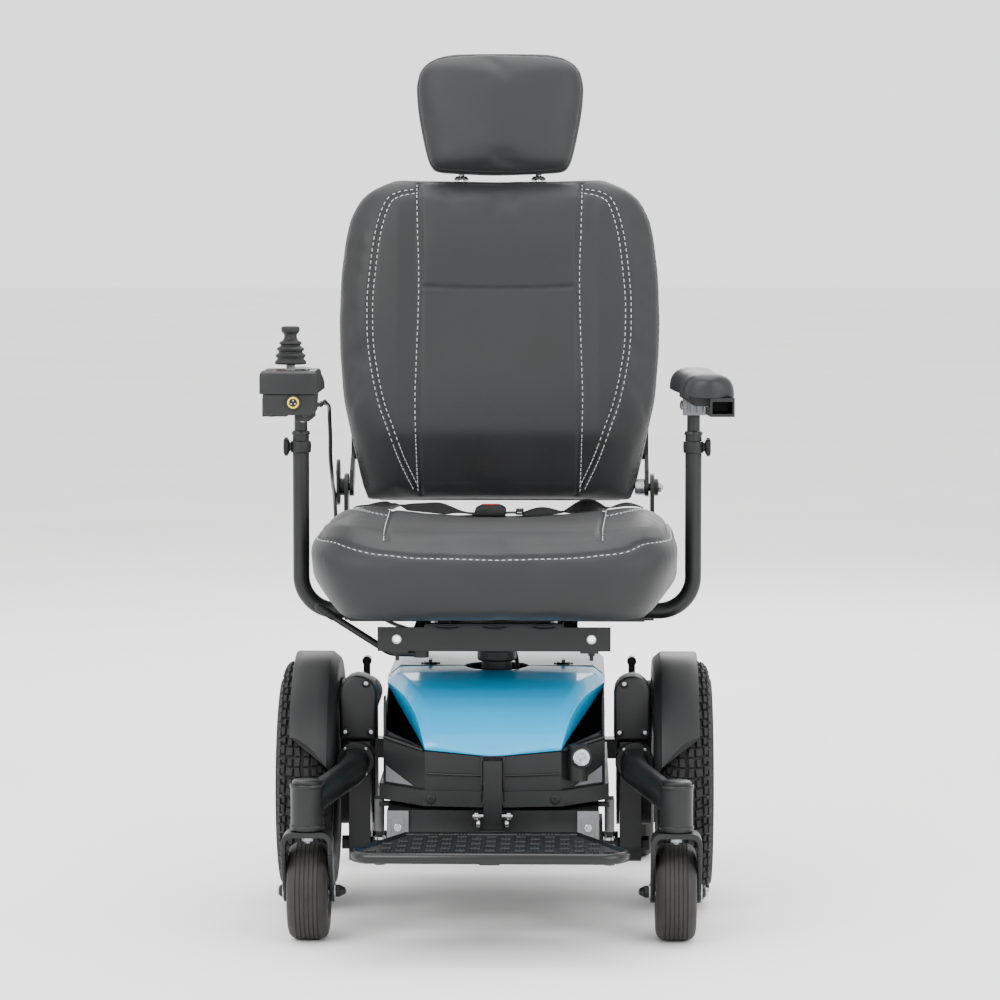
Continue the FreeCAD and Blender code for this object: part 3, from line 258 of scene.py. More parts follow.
def addTube(work, path, radius, sides=10, finish=0, loop=False, flat=1.0):
    # a round bar along the points; radius may be a list, and flat squeezes its height
    path = [Vector(p) for p in path]
    radii = radius if isinstance(radius, (list, tuple)) else [radius] * len(path)
    rings = []
    side = None
    last = len(path) - 1
    for i, point in enumerate(path):
        back = path[i - 1] if i or loop else point
        ahead = path[(i + 1) % len(path)] if i < last or loop else point
        forward = (ahead - back).normalized()
        if side is None:
            side = frameAlong(forward)[0]
        side = (side - forward * side.dot(forward)).normalized()
        up = forward.cross(side)
        rings.append([work.verts.new(point + (side * math.cos(t) + up * flat * math.sin(t)) * radii[i])
                      for t in (2 * math.pi * k / sides for k in range(sides))])
    pairs = list(zip(rings, rings[1:])) + ([(rings[-1], rings[0])] if loop else [])
    for lower, upper in pairs:
        for k in range(sides):
            j = (k + 1) % sides
            work.faces.new((lower[k], lower[j], upper[j], upper[k])).material_index = finish
    if not loop:
        work.faces.new(rings[0][::-1]).material_index = finish
        work.faces.new(rings[-1]).material_index = finish


def addScrew(work, centre, direction, radius, height=None, finish=0):
    # pan head with a hexagonal socket
    height = height or radius * 0.6
    profile = [(radius, 0), (radius, height * 0.5), (radius * 0.8, height * 0.9), (radius * 0.5, height),
               (radius * 0.46, height * 0.45), (0, height * 0.45)]
    addTurned(work, profile, centre, direction, 18, finish)


def addNut(work, centre, direction, radius, height, finish=0, dome=0):
    # hexagon nut; with a dome it is an acorn nut
    side, up, forward = frameAlong(direction)
    profile = [(radius * 0.9, 0), (radius, height * 0.12), (radius, height * 0.85), (radius * 0.86, height)]
    addTurned(work, profile, centre, direction, 6, finish)
    top = [(radius * 0.86, height)]
    if dome:
        top += [(radius * 0.72, height + dome * 0.3), (radius * 0.5, height + dome * 0.8),
                (0, height + dome)]
    else:
        top += [(radius * 0.5, height), (radius * 0.5, height + 2), (radius * 0.4, height + 2.6),
                (0, height + 2.6)]
    addTurned(work, top, centre, direction, 6 if not dome else 24, finish)


def finishPiece(work, name, body, finishes, replaces=(), smooth=34, matrix=None, mirrored=False):
    mesh = bpy.data.meshes.new(name)
    copy = work.copy()
    if matrix:
        copy.transform(matrix)
    copy.transform(Matrix.Diagonal((-mm if mirrored else mm, mm, mm, 1)))
    bmesh.ops.recalc_face_normals(copy, faces=copy.faces)
    copy.to_mesh(mesh)
    copy.free()
    for finish in finishes:
        mesh.materials.append(finish)
    mesh.shade_smooth()
    mesh.set_sharp_from_angle(angle=math.radians(smooth))
    piece = bpy.data.objects.new(name, mesh)
    bpy.context.scene.collection.objects.link(piece)
    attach(piece, body)
    if replaces:
        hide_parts(*replaces)
    return piece


def finishPair(work, name, body, finishes, replaces=(), smooth=34, matrix=None):
    # bodies and nodes are named without their side
    for side in ("left_", "right_"):
        finishPiece(work, side + name, side + body if body in pairedBodies else body, finishes,
                    [side + node for node in replaces], smooth, matrix, side == "right_")
    work.free()


pairedBodies = {name[5:] for name in frame["bodies"] if name.startswith("left_")}


# Cords
seatCable = dict(radius=3, length=0.777, route=[
    (-245.5, 44.5, 721), (-245.5, 62, 718), (-246, 76, 700), (-245, 82, 672), (-246, 90, 644),
    (-245, 112, 616), (-246, 150, 596), (-246, 192, 580), (-247, 225, 552), (-246, 246, 512),
                                                (-240, 252, 464),
    (-218, 249, 418), (-176, 238, 386), (-128, 212, 372), (-82, 180, 367), (-42, 142, 366), (-4, 106, 367),
    (22, 76, 366), (29, 50, 354), (31, 34, 328)])
armCable = dict(radius=3, route=[
    (-252, -291.2, 742), (-249, -262, 740), (-246, -222, 736), (-247, -174, 733), (-245, -126, 731),
    (-246, -80, 732), (-245, -38, 730), (-245.5, 0, 726), (-245.5, 35.5, 722)])


def cableCurve(name, cable, body, node):
    curve = bpy.data.curves.new(name, "CURVE")
    curve.dimensions = "3D"
    spline = curve.splines.new("NURBS")
    spline.points.add(len(cable["route"]) - 1)
    for point, (x, y, z) in zip(spline.points, cable["route"]):
        point.co = (x * mm, y * mm, z * mm, 1)
    spline.order_u = 3
    spline.use_endpoint_u = True
    spline.resolution_u = 10
    curve.bevel_depth = cable["radius"] * mm
    curve.bevel_resolution = 4
    curve.materials.append(extrudedPvc)
    piece = bpy.data.objects.new(name, curve)
    bpy.context.scene.collection.objects.link(piece)
    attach(piece, body)
    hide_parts(node)
    return piece


hangingCable = cableCurve("hanging_cable", seatCable, "seat", "seat_cable")
cableCurve("cable_under_pad", armCable, "right_arm_pad", "controller_cable")
print("cords ready")


# CAD nodes that keep their own shape
keptNodes = {
    powderCoatedSteel: ["main_frame", "suspension_struts", "footplate_bracket", "rear_beam", "seat_post",
                        "seat_frame",
                        "swivel_lever", "back_frame", "left_rocker_arm", "right_rocker_arm",
                        "left_arm_tube",
                        "right_arm_tube", "left_arm_post", "right_arm_post", "left_rear_fork",
                        "right_rear_fork"],
    mouldedPolypropylene: ["batteries"],
    mouldedAbs: ["power_module", "lower_cover", "left_pad_base", "right_pad_base"],
    paintedCasting: ["left_gearbox", "right_gearbox"],
    chromePlate: ["headrest_posts"],
    machinedAcetal: ["joystick_gimbal"],
    polishedAbs: ["left_shroud_knob", "right_shroud_knob", "power_button", "left_release_lever",
                  "right_release_lever"],
    glassFilledNylon: ["left_drive_rim", "right_drive_rim"],
    # the rear shroud gets the front's cyan lacquer darkened as painted shade
    cyanLacquerPaintedShade: ["rear_shroud"],
}
for finish, names in keptNodes.items():
    for name in names:
        node = frame["nodes"][name]
        if not node.data.materials:
            node.data.materials.append(finish)
        for slot in node.material_slots:
            slot.material = finish
        node.data.shade_smooth()
        node.data.set_sharp_from_angle(angle=math.radians(28))


# Drive tyres: carcass with moulded lugs in rows
tyre = dict(x=271.5, axle=178, radius=178, half=39, crownHalf=23, crownDrop=5, bead=106, lug=5, pitches=38)
# lug outlines in one pitch: distance across from the middle, and share of the pitch round the tyre
lugs = [
    [(1.6, 0.02), (3.4, 0.48), (11.4, 0.48), (9.4, 0.02)],
    [(3.4, 0.52), (1.6, 0.98), (9.4, 0.98), (11.4, 0.52)],
    [(13.6, 0.06), (12.6, 0.44), (22.6, 0.52), (23.6, 0.14)],
    [(14.6, 0.54), (13.8, 0.9), (19.8, 0.96), (20.6, 0.6)],
    [(26.4, 0.2), (26.0, 0.62), (34.2, 0.66), (34.6, 0.24)],
    [(24.6, 0.72), (24.2, 1.06), (31.4, 1.1), (31.8, 0.76)],
    [(37.4, 0.14), (37.0, 0.5), (46.0, 0.5), (46.4, 0.16)],
    [(36.4, 0.62), (36.2, 0.92), (42.0, 0.94), (42.2, 0.64)],
]


def treadPoint(across, depth):
    # (offset along the axle, radius) of a point that far round the section and that deep
    side = math.copysign(1, across)
    u = abs(across)
    arc = (tyre["crownHalf"] ** 2 + tyre["crownDrop"] ** 2) / (2 * tyre["crownDrop"])
    if u <= tyre["crownHalf"]:
        lean = math.asin(u / arc)
        radius = tyre["radius"] - arc + arc * math.cos(lean) - depth * math.cos(lean)
        return side * (u - depth * math.sin(lean)), radius
    turn = (u - tyre["crownHalf"]) / 24.2
    wide, tall = tyre["half"] - tyre["crownHalf"], tyre["radius"] - tyre["crownDrop"] - 140
    lean = 0.43 + turn * 0.72
    return (side * (tyre["crownHalf"] + wide * math.sin(turn) - depth * math.sin(lean)),
            140 + tall * math.cos(turn) - depth * math.cos(lean))


def driveTyre():
    work = bmesh.new()
    section = [treadPoint(u, tyre["lug"]) for u in range(-46, 47, 4)]
    wall = [(39.2, 147), (38.4, 145.5), (39.0, 140), (38.6, 131), (39.4, 129.5), (38.4, 128), (37.4, 120),
            (35, 113),
            (30, 108), (25, tyre["bead"] + 0.4)]
    section = [(-x, r) for x, r in reversed(wall)] + section + wall
    centre = (tyre["x"], 0, tyre["axle"])
    addTurned(work, [(r, x) for x, r in section], centre, (1, 0, 0), tyre["pitches"] * 4)
    pitch = 360 / tyre["pitches"]
    for step in range(tyre["pitches"]):
        for side in (1, -1):
            for outline in lugs:
                middle = (sum(p[0] for p in outline) / 4, sum(p[1] for p in outline) / 4)
                rings = []
                for depth, grow in ((tyre["lug"] + 1, 1.06), (1.0, 1.0), (0.0, 0.86)):
                    ring = []
                    for across, share in outline:
                        u = side * (middle[0] + (across - middle[0]) * grow)
                        turn = (step + middle[1] + (share - middle[1]) * grow
                                + (0.5 if side < 0 else 0)) * pitch
                        x, r = treadPoint(u, depth)
                        ring.append(work.verts.new((tyre["x"] + x, -r * math.cos(math.radians(turn)),
                                                    tyre["axle"] + r * math.sin(math.radians(turn)))))
                    rings.append(ring)
                for lower, upper in zip(rings, rings[1:]):
                    for k in range(4):
                        j = (k + 1) % 4
                        work.faces.new((lower[k], lower[j], upper[j], upper[k]))
                work.faces.new(rings[-1])
                work.faces.new(rings[0][::-1])
    finishPair(work, "drive_tyre_tread", "drive_wheel", [vulcanisedRubber], ["drive_tyre"], 30)


driveTyre()


def wheelTrim():
    # hub cap, wheel bolts and valve on the outside of each drive rim
    work = bmesh.new()
    axle = tyre["axle"]
    cap = [(19, 296 - 271.5), (19, 301 - 271.5), (17.5, 303.5 - 271.5), (10, 305.5 - 271.5),
           (0, 306 - 271.5)]
    addTurned(work, cap, (tyre["x"], 0, axle), (1, 0, 0), 36)
    for k in range(5):
        turn = math.radians(36 + 72 * k)
        spot = (tyre["x"] + 6, 22 * math.cos(turn), axle + 22 * math.sin(turn))
        addNut(work, spot, (1, 0, 0), 4.6, 5, 1)
    turn = math.radians(126)
    foot = Vector((tyre["x"] + 14, 90 * math.cos(turn), axle + 90 * math.sin(turn)))
    addTube(work, [foot, foot + Vector((9, 0, 0)), foot + Vector((18, -3 * math.cos(turn),
                                                                  -3 * math.sin(turn)))],
            [3.6, 3.2, 2.8], 12, 2)
    finishPair(work, "wheel_trim", "drive_wheel", [polishedAbs, zincPlate, vulcanisedRubber])


wheelTrim()
print("drive wheels ready")


# Fenders
fender = dict(axle=178, outer=188, frontAngle=27, rearAngle=165, lipX=289.5, reach=64, sweep=18)


def fenderShell():
    # section points are (x, radius) about the drive axle; each starts at its own angle, so that the
    # front edge sweeps down from the outer lip to the wall in one curve
    work = bmesh.new()
    f = fender
    top = f["outer"]
    section = [(289.5, top - 4.4), (289.5, top - 1.6), (288, top - 0.3), (286, top), (276, top), (264, top),
               (252, top), (240, top), (236.5, top - 0.6), (232, top - 4.4), (227, top - 8.5),
               (225.5, top - 11.5),
               (225.5, 164), (225.5, 150), (226.5, 148.6), (228, 148.6), (228.6, 150), (228.6, 164),
               (228.6, top - 12), (231, top - 8), (238, top - 4.2), (241, top - 4), (252, top - 4),
               (264, top - 4),
               (276, top - 4)]
    steps = 110
    rings = []
    for i in range(steps + 1):
        ring = []
        for x, r in section:
            inward = (f["lipX"] - x) / f["reach"]
            first = f["frontAngle"] - f["sweep"] * inward ** 1.7
            angle = first + (f["rearAngle"] - first) * (i / steps)
            if r < 165:
                # the wall hangs lower at the front
                hang = max(0, min(1, (46 - angle) / 26))
                r -= 42 * hang * hang * (3 - 2 * hang) * (1 if r < 155 else 0.5)
            turn = math.radians(angle)
            ring.append(work.verts.new((x, -r * math.cos(turn), f["axle"] + r * math.sin(turn))))
        rings.append(ring)
    for lower, upper in zip(rings, rings[1:]):
        for k in range(len(section)):
            j = (k + 1) % len(section)
            work.faces.new((lower[k], lower[j], upper[j], upper[k]))
    work.faces.new(rings[0][::-1])
    work.faces.new(rings[-1])
    finishPair(work, "fender_shell", "rocker", [mouldedAbs], ["fender"], 30)


fenderShell()


# Motors and their front covers
motorUnit = dict(x=199, z=284, bodyRadius=24.5, coverFront=-102, coverRear=-47)


def motorPieces():
    work = bmesh.new()
    x, z, r = motorUnit["x"], motorUnit["z"], motorUnit["bodyRadius"]
    body = [(0, 56), (r - 3, 56), (r - 1, 60), (r - 1, 70)]
    for k in range(6):
        y = 74 + k * 18
        body += [(r - 1, y), (r, y + 0.8), (r, y + 13), (r - 1, y + 14)]
    body += [(r - 1, 184), (r - 0.4, 186), (r - 0.4, 196), (r - 4, 199.6), (0, 199.6)]
    addTurned(work, [(radius, y) for radius, y in body], (x, 0, z), (0, 1, 0), 48, 1)
    for turn in (45, 135, 225, 315):
        a = math.radians(turn)
        addTube(work, [(x + 18 * math.cos(a), 64, z + 18 * math.sin(a)),
                       (x + 18 * math.cos(a), 199, z + 18 * math.sin(a))],
                2.2, 10, 2)
    # cover: flat sides, round shoulders
    outline = [(169.5, 250), (169.5, 316), (171.5, 327), (177, 335.5), (186, 341.5), (198, 343),
               (207, 340.5),
               (215, 334), (220, 325), (222, 314), (222, 250)]
    addPrism(work, outline, "y", motorUnit["coverFront"] + 0.5, motorUnit["coverRear"], 5, 0, 4)
    front = motorUnit["coverFront"] + 0.5
    for sx, sz in ((184, 332), (177, 262), (214, 262)):
        addTurned(work, [(6.2, 0.6), (6.2, -0.6), (4.8, -1.4), (4.6, 0.4), (0, 0.4)], (sx, front, sz),
                  (0, 1, 0), 24, 0)
        addScrew(work, (sx, front + 0.4, sz), (0, -1, 0), 3.6, 2.0, 2)
    finishPair(work, "motor_and_cover", "rocker",
               [mouldedAbs, paintedCasting, zincPlate], ["motor"])


motorPieces()


rockerPlaces = dict(barrel=(253, -329.7), barrelTop=224, armX=198.5, armZ=222, boltCircle=23.4)


def rockerTrim():
    # barrel caps, the collar where the arm enters, its clamp bolts and the outer box behind the caster
    work = bmesh.new()
    top = rockerPlaces["barrelTop"]
    x, y = rockerPlaces["barrel"]
    armX, armZ, circle = (rockerPlaces[key] for key in ("armX", "armZ", "boltCircle"))
    dome = [(20.4, top + 0.2), (20.4, top + 1.6), (18, top + 3.4), (11, top + 4.6), (0, top + 5.2)]
    addTurned(work, [(r, h) for r, h in dome], (x, y, 0), (0, 0, 1), 40, 0)
    ring = [(23.3, 160.5), (23.8, 161.5), (23.8, 165), (23.3, 166)]
    for shift in (0, 56):
        band = [(22.3, 160.5)] + ring + [(22.3, 166.2)]
        addTurned(work, [(r, h + shift) for r, h in band], (x, y, 0), (0, 0, 1), 40, 0)
    # flange round the arm where it leaves the pivot box
    for level, radius in ((-116, 27.4), (-110, 25.6)):
        addTurned(work, [(19, level), (radius - 1.2, level), (radius, level + 1.2), (radius, level + 5),
                         (19, level + 5)],
                  (armX, 0, armZ), (0, 1, 0), 44, 0)
    for turn in (50, 130, 230, 310):
        a = math.radians(turn)
        addScrew(work, (armX + circle * math.cos(a), -116, armZ + circle * math.sin(a)), (0, -1, 0), 2.6,
                 1.6, 1)
    finishPair(work, "rocker_trim", "rocker", [powderCoatedSteel, zincPlate])


rockerTrim()
print("drive units ready")


# Front casters
frontCaster = dict(x=253, y=-329.7, trail=38, radius=67, width=56, crownTop=157, crownBottom=149, plate=6,
                   inside=29)
rearCaster = dict(x=217, y=365.7, trail=38, radius=67, width=38)


def casterWheel(caster, name, body, node):
    work = bmesh.new()
    half, r = caster["width"] / 2, caster["radius"]
    side = [(r * 0.55, 3), (r * 0.6, 0.6), (r * 0.66, 0), (r - 14, 0), (r - 7.5, 1.6), (r - 3, 5.5),
            (r - 0.9, 10)]
    tread = [(radius, -half + inset) for radius, inset in side]
    grooves = [-half + 13 + k * (caster["width"] - 26) / 5 for k in range(6)]
    for g in grooves:
        tread += [(r, g - 0.9), (r - 1.1, g - 0.5), (r - 1.1, g + 0.5), (r, g + 0.9)]
    tread += [(radius, half - inset) for radius, inset in reversed(side)]
    centre = (caster["x"], caster["y"] + caster["trail"], r)
    addTurned(work, tread, centre, (1, 0, 0), 96, 0)
    inner = r * 0.55
    hub = [(inner, -half + 3), (inner - 3, -half + 3.4), (inner - 5, -half + 9), (21, -half + 9.5),
           (19, -half + 3),
           (17, -half + 1.4), (9, -half + 1.4), (8.6, -half + 3)]
    hub = hub + [(radius, -along) for radius, along in reversed(hub)]
    addTurned(work, hub, centre, (1, 0, 0), 48, 1)
    for k in range(6):
        turn = math.radians(60 * k)
        for way in (-1, 1):
            x = centre[0] + way * (half - 8)
            ends = [(x, centre[1] + d * math.cos(turn), centre[2] + d * math.sin(turn))
                    for d in (19, inner - 2)]
            addTube(work, ends, 2.4, 8, 1)
    finishPair(work, name, body, [castPolyurethane, glassFilledNylon], [node], 30)


casterWheel(frontCaster, "front_caster", "front_wheel", "front_wheel")
casterWheel(rearCaster, "rear_caster", "rear_wheel", "rear_wheel")


def frontFork():
    work = bmesh.new()
    c = frontCaster
    x, y, axleY = c["x"], c["y"], c["y"] + c["trail"]
    out = c["inside"] + c["plate"]
    corner = 15
    arch = [(x - out, 126), (x - out, c["crownTop"] - corner)]
    arch += [(x - out + corner * (1 - math.cos(math.radians(t))), c["crownTop"] - corner
              + corner * math.sin(math.radians(t)))
             for t in (15, 30, 45, 60, 75, 90)]
    arch += [(2 * x - a, b) for a, b in reversed(arch)]
    inner = corner - 6
    under = [(x - c["inside"], 126), (x - c["inside"], c["crownBottom"] - inner)]
    under += [(x - c["inside"] + inner * (1 - math.cos(math.radians(t))),
               c["crownBottom"] - inner + inner * math.sin(math.radians(t))) for t in (30, 60, 90)]
    under += [(2 * x - a, b) for a, b in reversed(under)]
    addPrism(work, arch + under[::-1], "y", y - 20, y + 24, 1.2)
    leg = [(y - 20, 125.9), (y - 20, 124), (y + 16, 69), (axleY - 15, 66), (axleY - 12.5, 57),
           (axleY - 7, 53),
           (axleY, 51.5), (axleY + 7, 53), (axleY + 12.5, 57), (axleY + 15, 66), (axleY + 14, 76),
           (y + 24, 116),
           (y + 24, 125.9)]
    for start in (-out, c["inside"]):
        addPrism(work, leg, "x", x + start, x + start + c["plate"], 1.2)
    addTurned(work, [(0, c["crownTop"]), (17, c["crownTop"]), (17, c["crownTop"] + 1.4),
                     (0, c["crownTop"] + 1.4)],
              (x, y, 0), (0, 0, 1), 32)
    # stem nut under the crown, axle bolt with washer outside and acorn nut inside
    addNut(work, (x, y, c["crownBottom"]), (0, 0, -1), 9, 7, 1, 0)
    addTurned(work, [(6, -out - 9), (6, out + 9)], (x, axleY, c["radius"]), (1, 0, 0), 20, 1)
    addTurned(work, [(0, out), (11, out), (11, out + 1.6), (0, out + 1.6)], (x, axleY, c["radius"]),
              (1, 0, 0), 28, 1)
    addTurned(work, [(0, out), (11, out), (11, out + 1.6), (0, out + 1.6)], (x, axleY, c["radius"]),
              (-1, 0, 0), 28, 1)
    addScrew(work, (x + out + 1.6, axleY, c["radius"]), (1, 0, 0), 8.6, 5.5, 2)
    addNut(work, (x - out - 1.6, axleY, c["radius"]), (-1, 0, 0), 9, 7, 2, 8)
    finishPair(work, "front_fork_plate", "front_fork",
               [powderCoatedSteel, zincPlate, polishedAbs], ["front_fork"])


frontFork()
print("casters ready")


# Footplate
footplate = dict(top=150, bottom=134, front=-480, rear=-301.5, halfFront=183, halfRear=118, rim=7)


def footplatePieces():
    work = bmesh.new()
    f = footplate
    half, back = f["halfFront"], f["halfRear"]

    def halfWidth(y):
        # straight sides widening to the front, then a rounded corner
        share = (f["rear"] - y) / (f["rear"] - f["front"] - 34)
        if share <= 1:
            return back + (half - back) * share
        run = (f["front"] + 34 - y) / 34
        return half - 30 * (1 - math.sqrt(max(0, 1 - run ** 2)))

    rows = [f["rear"] - 178.5 * k / 60 for k in range(61)]
    edge = [(halfWidth(y), y) for y in rows]
    outline = edge + [(-x, y) for x, y in reversed(edge)]
    slotIn, slotOut = 24, 86
    slotFront, slotRear = f["front"] + 12, f["front"] + 22
    # the deck is laid in strips, so that the two front slots stay open
    deckTop, deckLow = f["top"] - 2.4, f["top"] - 6
    bands = [(f["rear"], slotRear, None), (slotRear, slotFront, "slots"), (slotFront, f["front"] + 1, None)]
    for high, low, kind in bands:
        steps = max(2, int((high - low) / 6))
        ys = [high + (low - high) * k / steps for k in range(steps + 1)]
        if kind is None:
            ring = [(halfWidth(y) - 2, y) for y in ys]
            addPrism(work, ring + [(-x, y) for x, y in reversed(ring)], "z", deckLow, deckTop)
        else:
            addPrism(work, [(-slotIn, high), (slotIn, high), (slotIn, low), (-slotIn, low)], "z", deckLow,
                     deckTop)
            for side in (-1, 1):
                ring = [(side * (halfWidth(y) - 2), y) for y in ys]
                addPrism(work, ring + [(side * slotOut, low), (side * slotOut, high)], "z", deckLow,
                         deckTop)
    # rolled rim all round
    rimPath = [(x, y, f["top"] - 6.2) for x, y in outline[::2]]
    addTube(work, rimPath, 6.0, 12, 1, loop=True, flat=1.25)
    # stiffening ribs beneath
    for x in (-110, -55, 55, 110):
        addBlock(work, (x - 2, f["front"] + 6, f["bottom"] + 2), (x + 2, f["rear"] - 3, deckLow), 0.8)
    # grip: bundles of three short bars, turned alternately
    for row in range(8):
        y = f["rear"] - 14 - row * 19
        for column in range(-8, 9):
            x = column * 20
            if abs(x) > halfWidth(y) - 18 or (abs(x) < 34 and y > -318):
                continue
            for k in (-1, 0, 1):
                if (row + column) % 2:
                    low, high = (x - 7, y + 4.6 * k - 1.1), (x + 7, y + 4.6 * k + 1.1)
                else:
                    low, high = (x + 4.6 * k - 1.1, y - 7), (x + 4.6 * k + 1.1, y + 7)
                addBlock(work, (low[0], low[1], deckTop - 0.3), (high[0], high[1], f["top"] + 0.2), 0.5,
                         0, 1)
    # front tab, hinge knuckles and their ties to the deck
    addBlock(work, (-14, f["front"] - 0.0, f["bottom"] + 1), (14, f["front"] + 9, f["top"] - 4), 1.2, 0)
    for side in (-1, 1):
        low, high = sorted((side * 19, side * 31))
        addTurned(work, [(5.05, low), (9.5, low), (9.5, high), (5.05, high), (5.05, low)], (0, -290, 140),
                  (1, 0, 0), 32)
        addBlock(work, (low, f["rear"] - 12, 134.5), (high, -298.5, 145.5), 0.8)
    finishPiece(work, "footplate_deck", "footplate", [mouldedAbs, polishedAbs],
                ["footplate"])
    work.free()
    # bright pivot bolts and the height screws on the hanger
    work = bmesh.new()
    for side in (-1, 1):
        addNut(work, (side * 40, -290, 140), (side, 0, 0), 8, 5, 0)
        addScrew(work, (side * 17.5, -274, 158), (side, 0, 0), 5, 5, 0)
        addTube(work, [(side * 13, -270, 168), (side * 26, -270, 168)], 3, 12, 0)
        addNut(work, (side * 20, -270, 168), (side, 0, 0), 5.5, 5, 0)
    finishPiece(work, "footplate_bolts", "chassis", [zincPlate])
    work.free()


footplatePieces()
print("footplate ready")


# Upholstery
seatHinge = (0, 211, 590)
backLean = 8
leanBack = (Matrix.Translation(seatHinge) @ Matrix.Rotation(math.radians(-backLean), 4, "X"))


def between(table, level):
    # straight-line reading of (level, value) rows
    for (a, va), (b, vb) in zip(table, table[1:]):
        if level <= b:
            share = (level - a) / (b - a)
            share = share * share * (3 - 2 * share) if len(table) < 3 else share
            return va + (vb - va) * max(0, share)
    return table[-1][1]


def roundedRing(halfWidth, front, rear, level, power, count=72):
    # squared-off oval in plan
    middle, half = (front + rear) / 2, (rear - front) / 2
    ring = []
    for k in range(count):
        t = 2 * math.pi * k / count
        c, s = math.cos(t), math.sin(t)
        ring.append((halfWidth * math.copysign(abs(c) ** (2 / power), c),
                     middle + half * math.copysign(abs(s) ** (2 / power), s), level))
    return ring


def addLoft(work, rings):
    rows = [[work.verts.new(p) for p in ring] for ring in rings]
    count = len(rows[0])
    for lower, upper in zip(rows, rows[1:]):
        for k in range(count):
            j = (k + 1) % count
            work.faces.new((lower[k], lower[j], upper[j], upper[k]))
    work.faces.new(rows[0][::-1])
    work.faces.new(rows[-1])


def bakeModifiers(piece):
    mesh = bpy.data.meshes.new_from_object(piece.evaluated_get(bpy.context.evaluated_depsgraph_get()))
    piece.modifiers.clear()
    piece.data = mesh


def readPoints(mesh):
    flat = np.empty(len(mesh.vertices) * 3)
    mesh.vertices.foreach_get("co", flat)
    return flat.reshape(-1, 3)


def writePoints(mesh, points):
    mesh.vertices.foreach_set("co", points.astype(np.float32).ravel())
    mesh.update()


clothSetup = dict(steps=20, stretch=30, shear=12, bend=2, smoothing=6)


def inflate(work, name, voxel, pressure, cap):
    # even mesh, then cloth under pressure, with its movement capped, and one subdivision
    scene = bpy.context.scene
    mesh = bpy.data.meshes.new(name)
    bmesh.ops.recalc_face_normals(work, faces=work.faces)
    work.transform(Matrix.Scale(mm, 4))
    work.to_mesh(mesh)
    work.free()
    piece = bpy.data.objects.new(name, mesh)
    scene.collection.objects.link(piece)
    remesh = piece.modifiers.new("remesh", "REMESH")
    remesh.mode = "VOXEL"
    remesh.voxel_size = voxel * mm
    bakeModifiers(piece)
    start = readPoints(piece.data)
    cloth = piece.modifiers.new("cloth", "CLOTH")
    cloth.settings.use_pressure = True
    cloth.settings.uniform_pressure_force = pressure
    cloth.settings.effector_weights.gravity = 0
    cloth.settings.tension_stiffness = clothSetup["stretch"]
    cloth.settings.compression_stiffness = clothSetup["stretch"]
    cloth.settings.shear_stiffness = clothSetup["shear"]
    cloth.settings.bending_stiffness = clothSetup["bend"]
    for step in range(1, clothSetup["steps"] + 1):
        scene.frame_set(step)
    bakeModifiers(piece)
    move = readPoints(piece.data) - start
    reach = np.linalg.norm(move, axis=1, keepdims=True)
    writePoints(piece.data, start + move * np.minimum(1, cap * mm / np.maximum(reach, 1e-9)))
    scene.frame_set(1)
    smooth = piece.modifiers.new("smooth", "SMOOTH")
    smooth.iterations = clothSetup["smoothing"]
    finer = piece.modifiers.new("finer", "SUBSURF")
    finer.levels = 1
    bakeModifiers(piece)
    return piece


def surfaceOf(piece):
    mesh = piece.data
    return BVHTree.FromPolygons([v.co for v in mesh.vertices], [p.vertices for p in mesh.polygons])


def curveThrough(points, spacing):
    # Catmull-Rom curve through given points, read at even steps, in millimetres
    points = [Vector(p) for p in points]
    ends = [points[0] * 2 - points[1]] + points + [points[-1] * 2 - points[-2]]
    fine = []
    for a, b, c, d in zip(ends, ends[1:], ends[2:], ends[3:]):
        for k in range(24):
            t = k / 24
            fine.append(0.5 * ((2 * b) + (c - a) * t + (2 * a - 5 * b + 4 * c - d) * t * t
                               + (3 * b - a - 3 * c + d) * t ** 3))
    fine.append(points[-1])
    even, run = [fine[0]], 0
    for a, b in zip(fine, fine[1:]):
        length = (b - a).length
        while run + length >= spacing and length > 0:
            a = a + (b - a) * ((spacing - run) / length)
            even.append(a)
            length = (b - a).length
            run = 0
        run += length
    return even


def laidOn(surface, line, direction):
    # drops each point onto the surface; the far side of nothing is skipped
    way = Vector(direction)
    found = []
    for point in line:
        place, normal = surface.ray_cast((point * mm) - way * 0.5, way)[:2]
        if place is not None:
            found.append((place / mm, normal))
    return found


def nearOn(surface, line):
    found = []
    for point in line:
        place, normal = surface.find_nearest(point * mm)[:2]
        found.append((place / mm, normal))
    return found


def pressSeams(piece, rows, width, depth):
    # draws the cover in along each seam
    tree = pointTree([p for row in rows for p, normal in row])
    mesh = piece.data
    points = readPoints(mesh)
    normals = np.empty(len(mesh.vertices) * 3)
    mesh.vertices.foreach_get("normal", normals)
    normals = normals.reshape(-1, 3)
    for i, point in enumerate(points):
        near = tree.find(point / mm)[2]
        if near < width * 3:
            points[i] -= normals[i] * depth * mm * math.exp(-(near / width) ** 2)
    writePoints(mesh, points)


def pointTree(points):
    tree = KDTree(len(points))
    for i, point in enumerate(points):
        tree.insert(point, i)
    tree.balance()
    return tree


stitch = dict(pitch=6.4, length=4.5, thick=0.62, rise=0.55)


def sewRow(work, surface, row, offset):
    # single stitches along the row, moved sideways by the offset
    run = 0
    for (a, normalA), (b, normalB) in zip(row, row[1:]):
        run += (b - a).length
        if run < stitch["pitch"]:
            continue
        run = 0
        along = (b - a).normalized()
        aside = along.cross(normalA).normalized()
        middle = a + aside * offset
        place, normal = surface.find_nearest(middle * mm)[:2]
        place = place / mm
        half = along * stitch["length"] / 2
        addTube(work, [place - half - normal * 0.3, place - half * 0.55 + normal * stitch["rise"] * 0.8,
                       place + half * 0.55 + normal * stitch["rise"] * 0.8, place + half - normal * 0.3],
                stitch["thick"], 5)


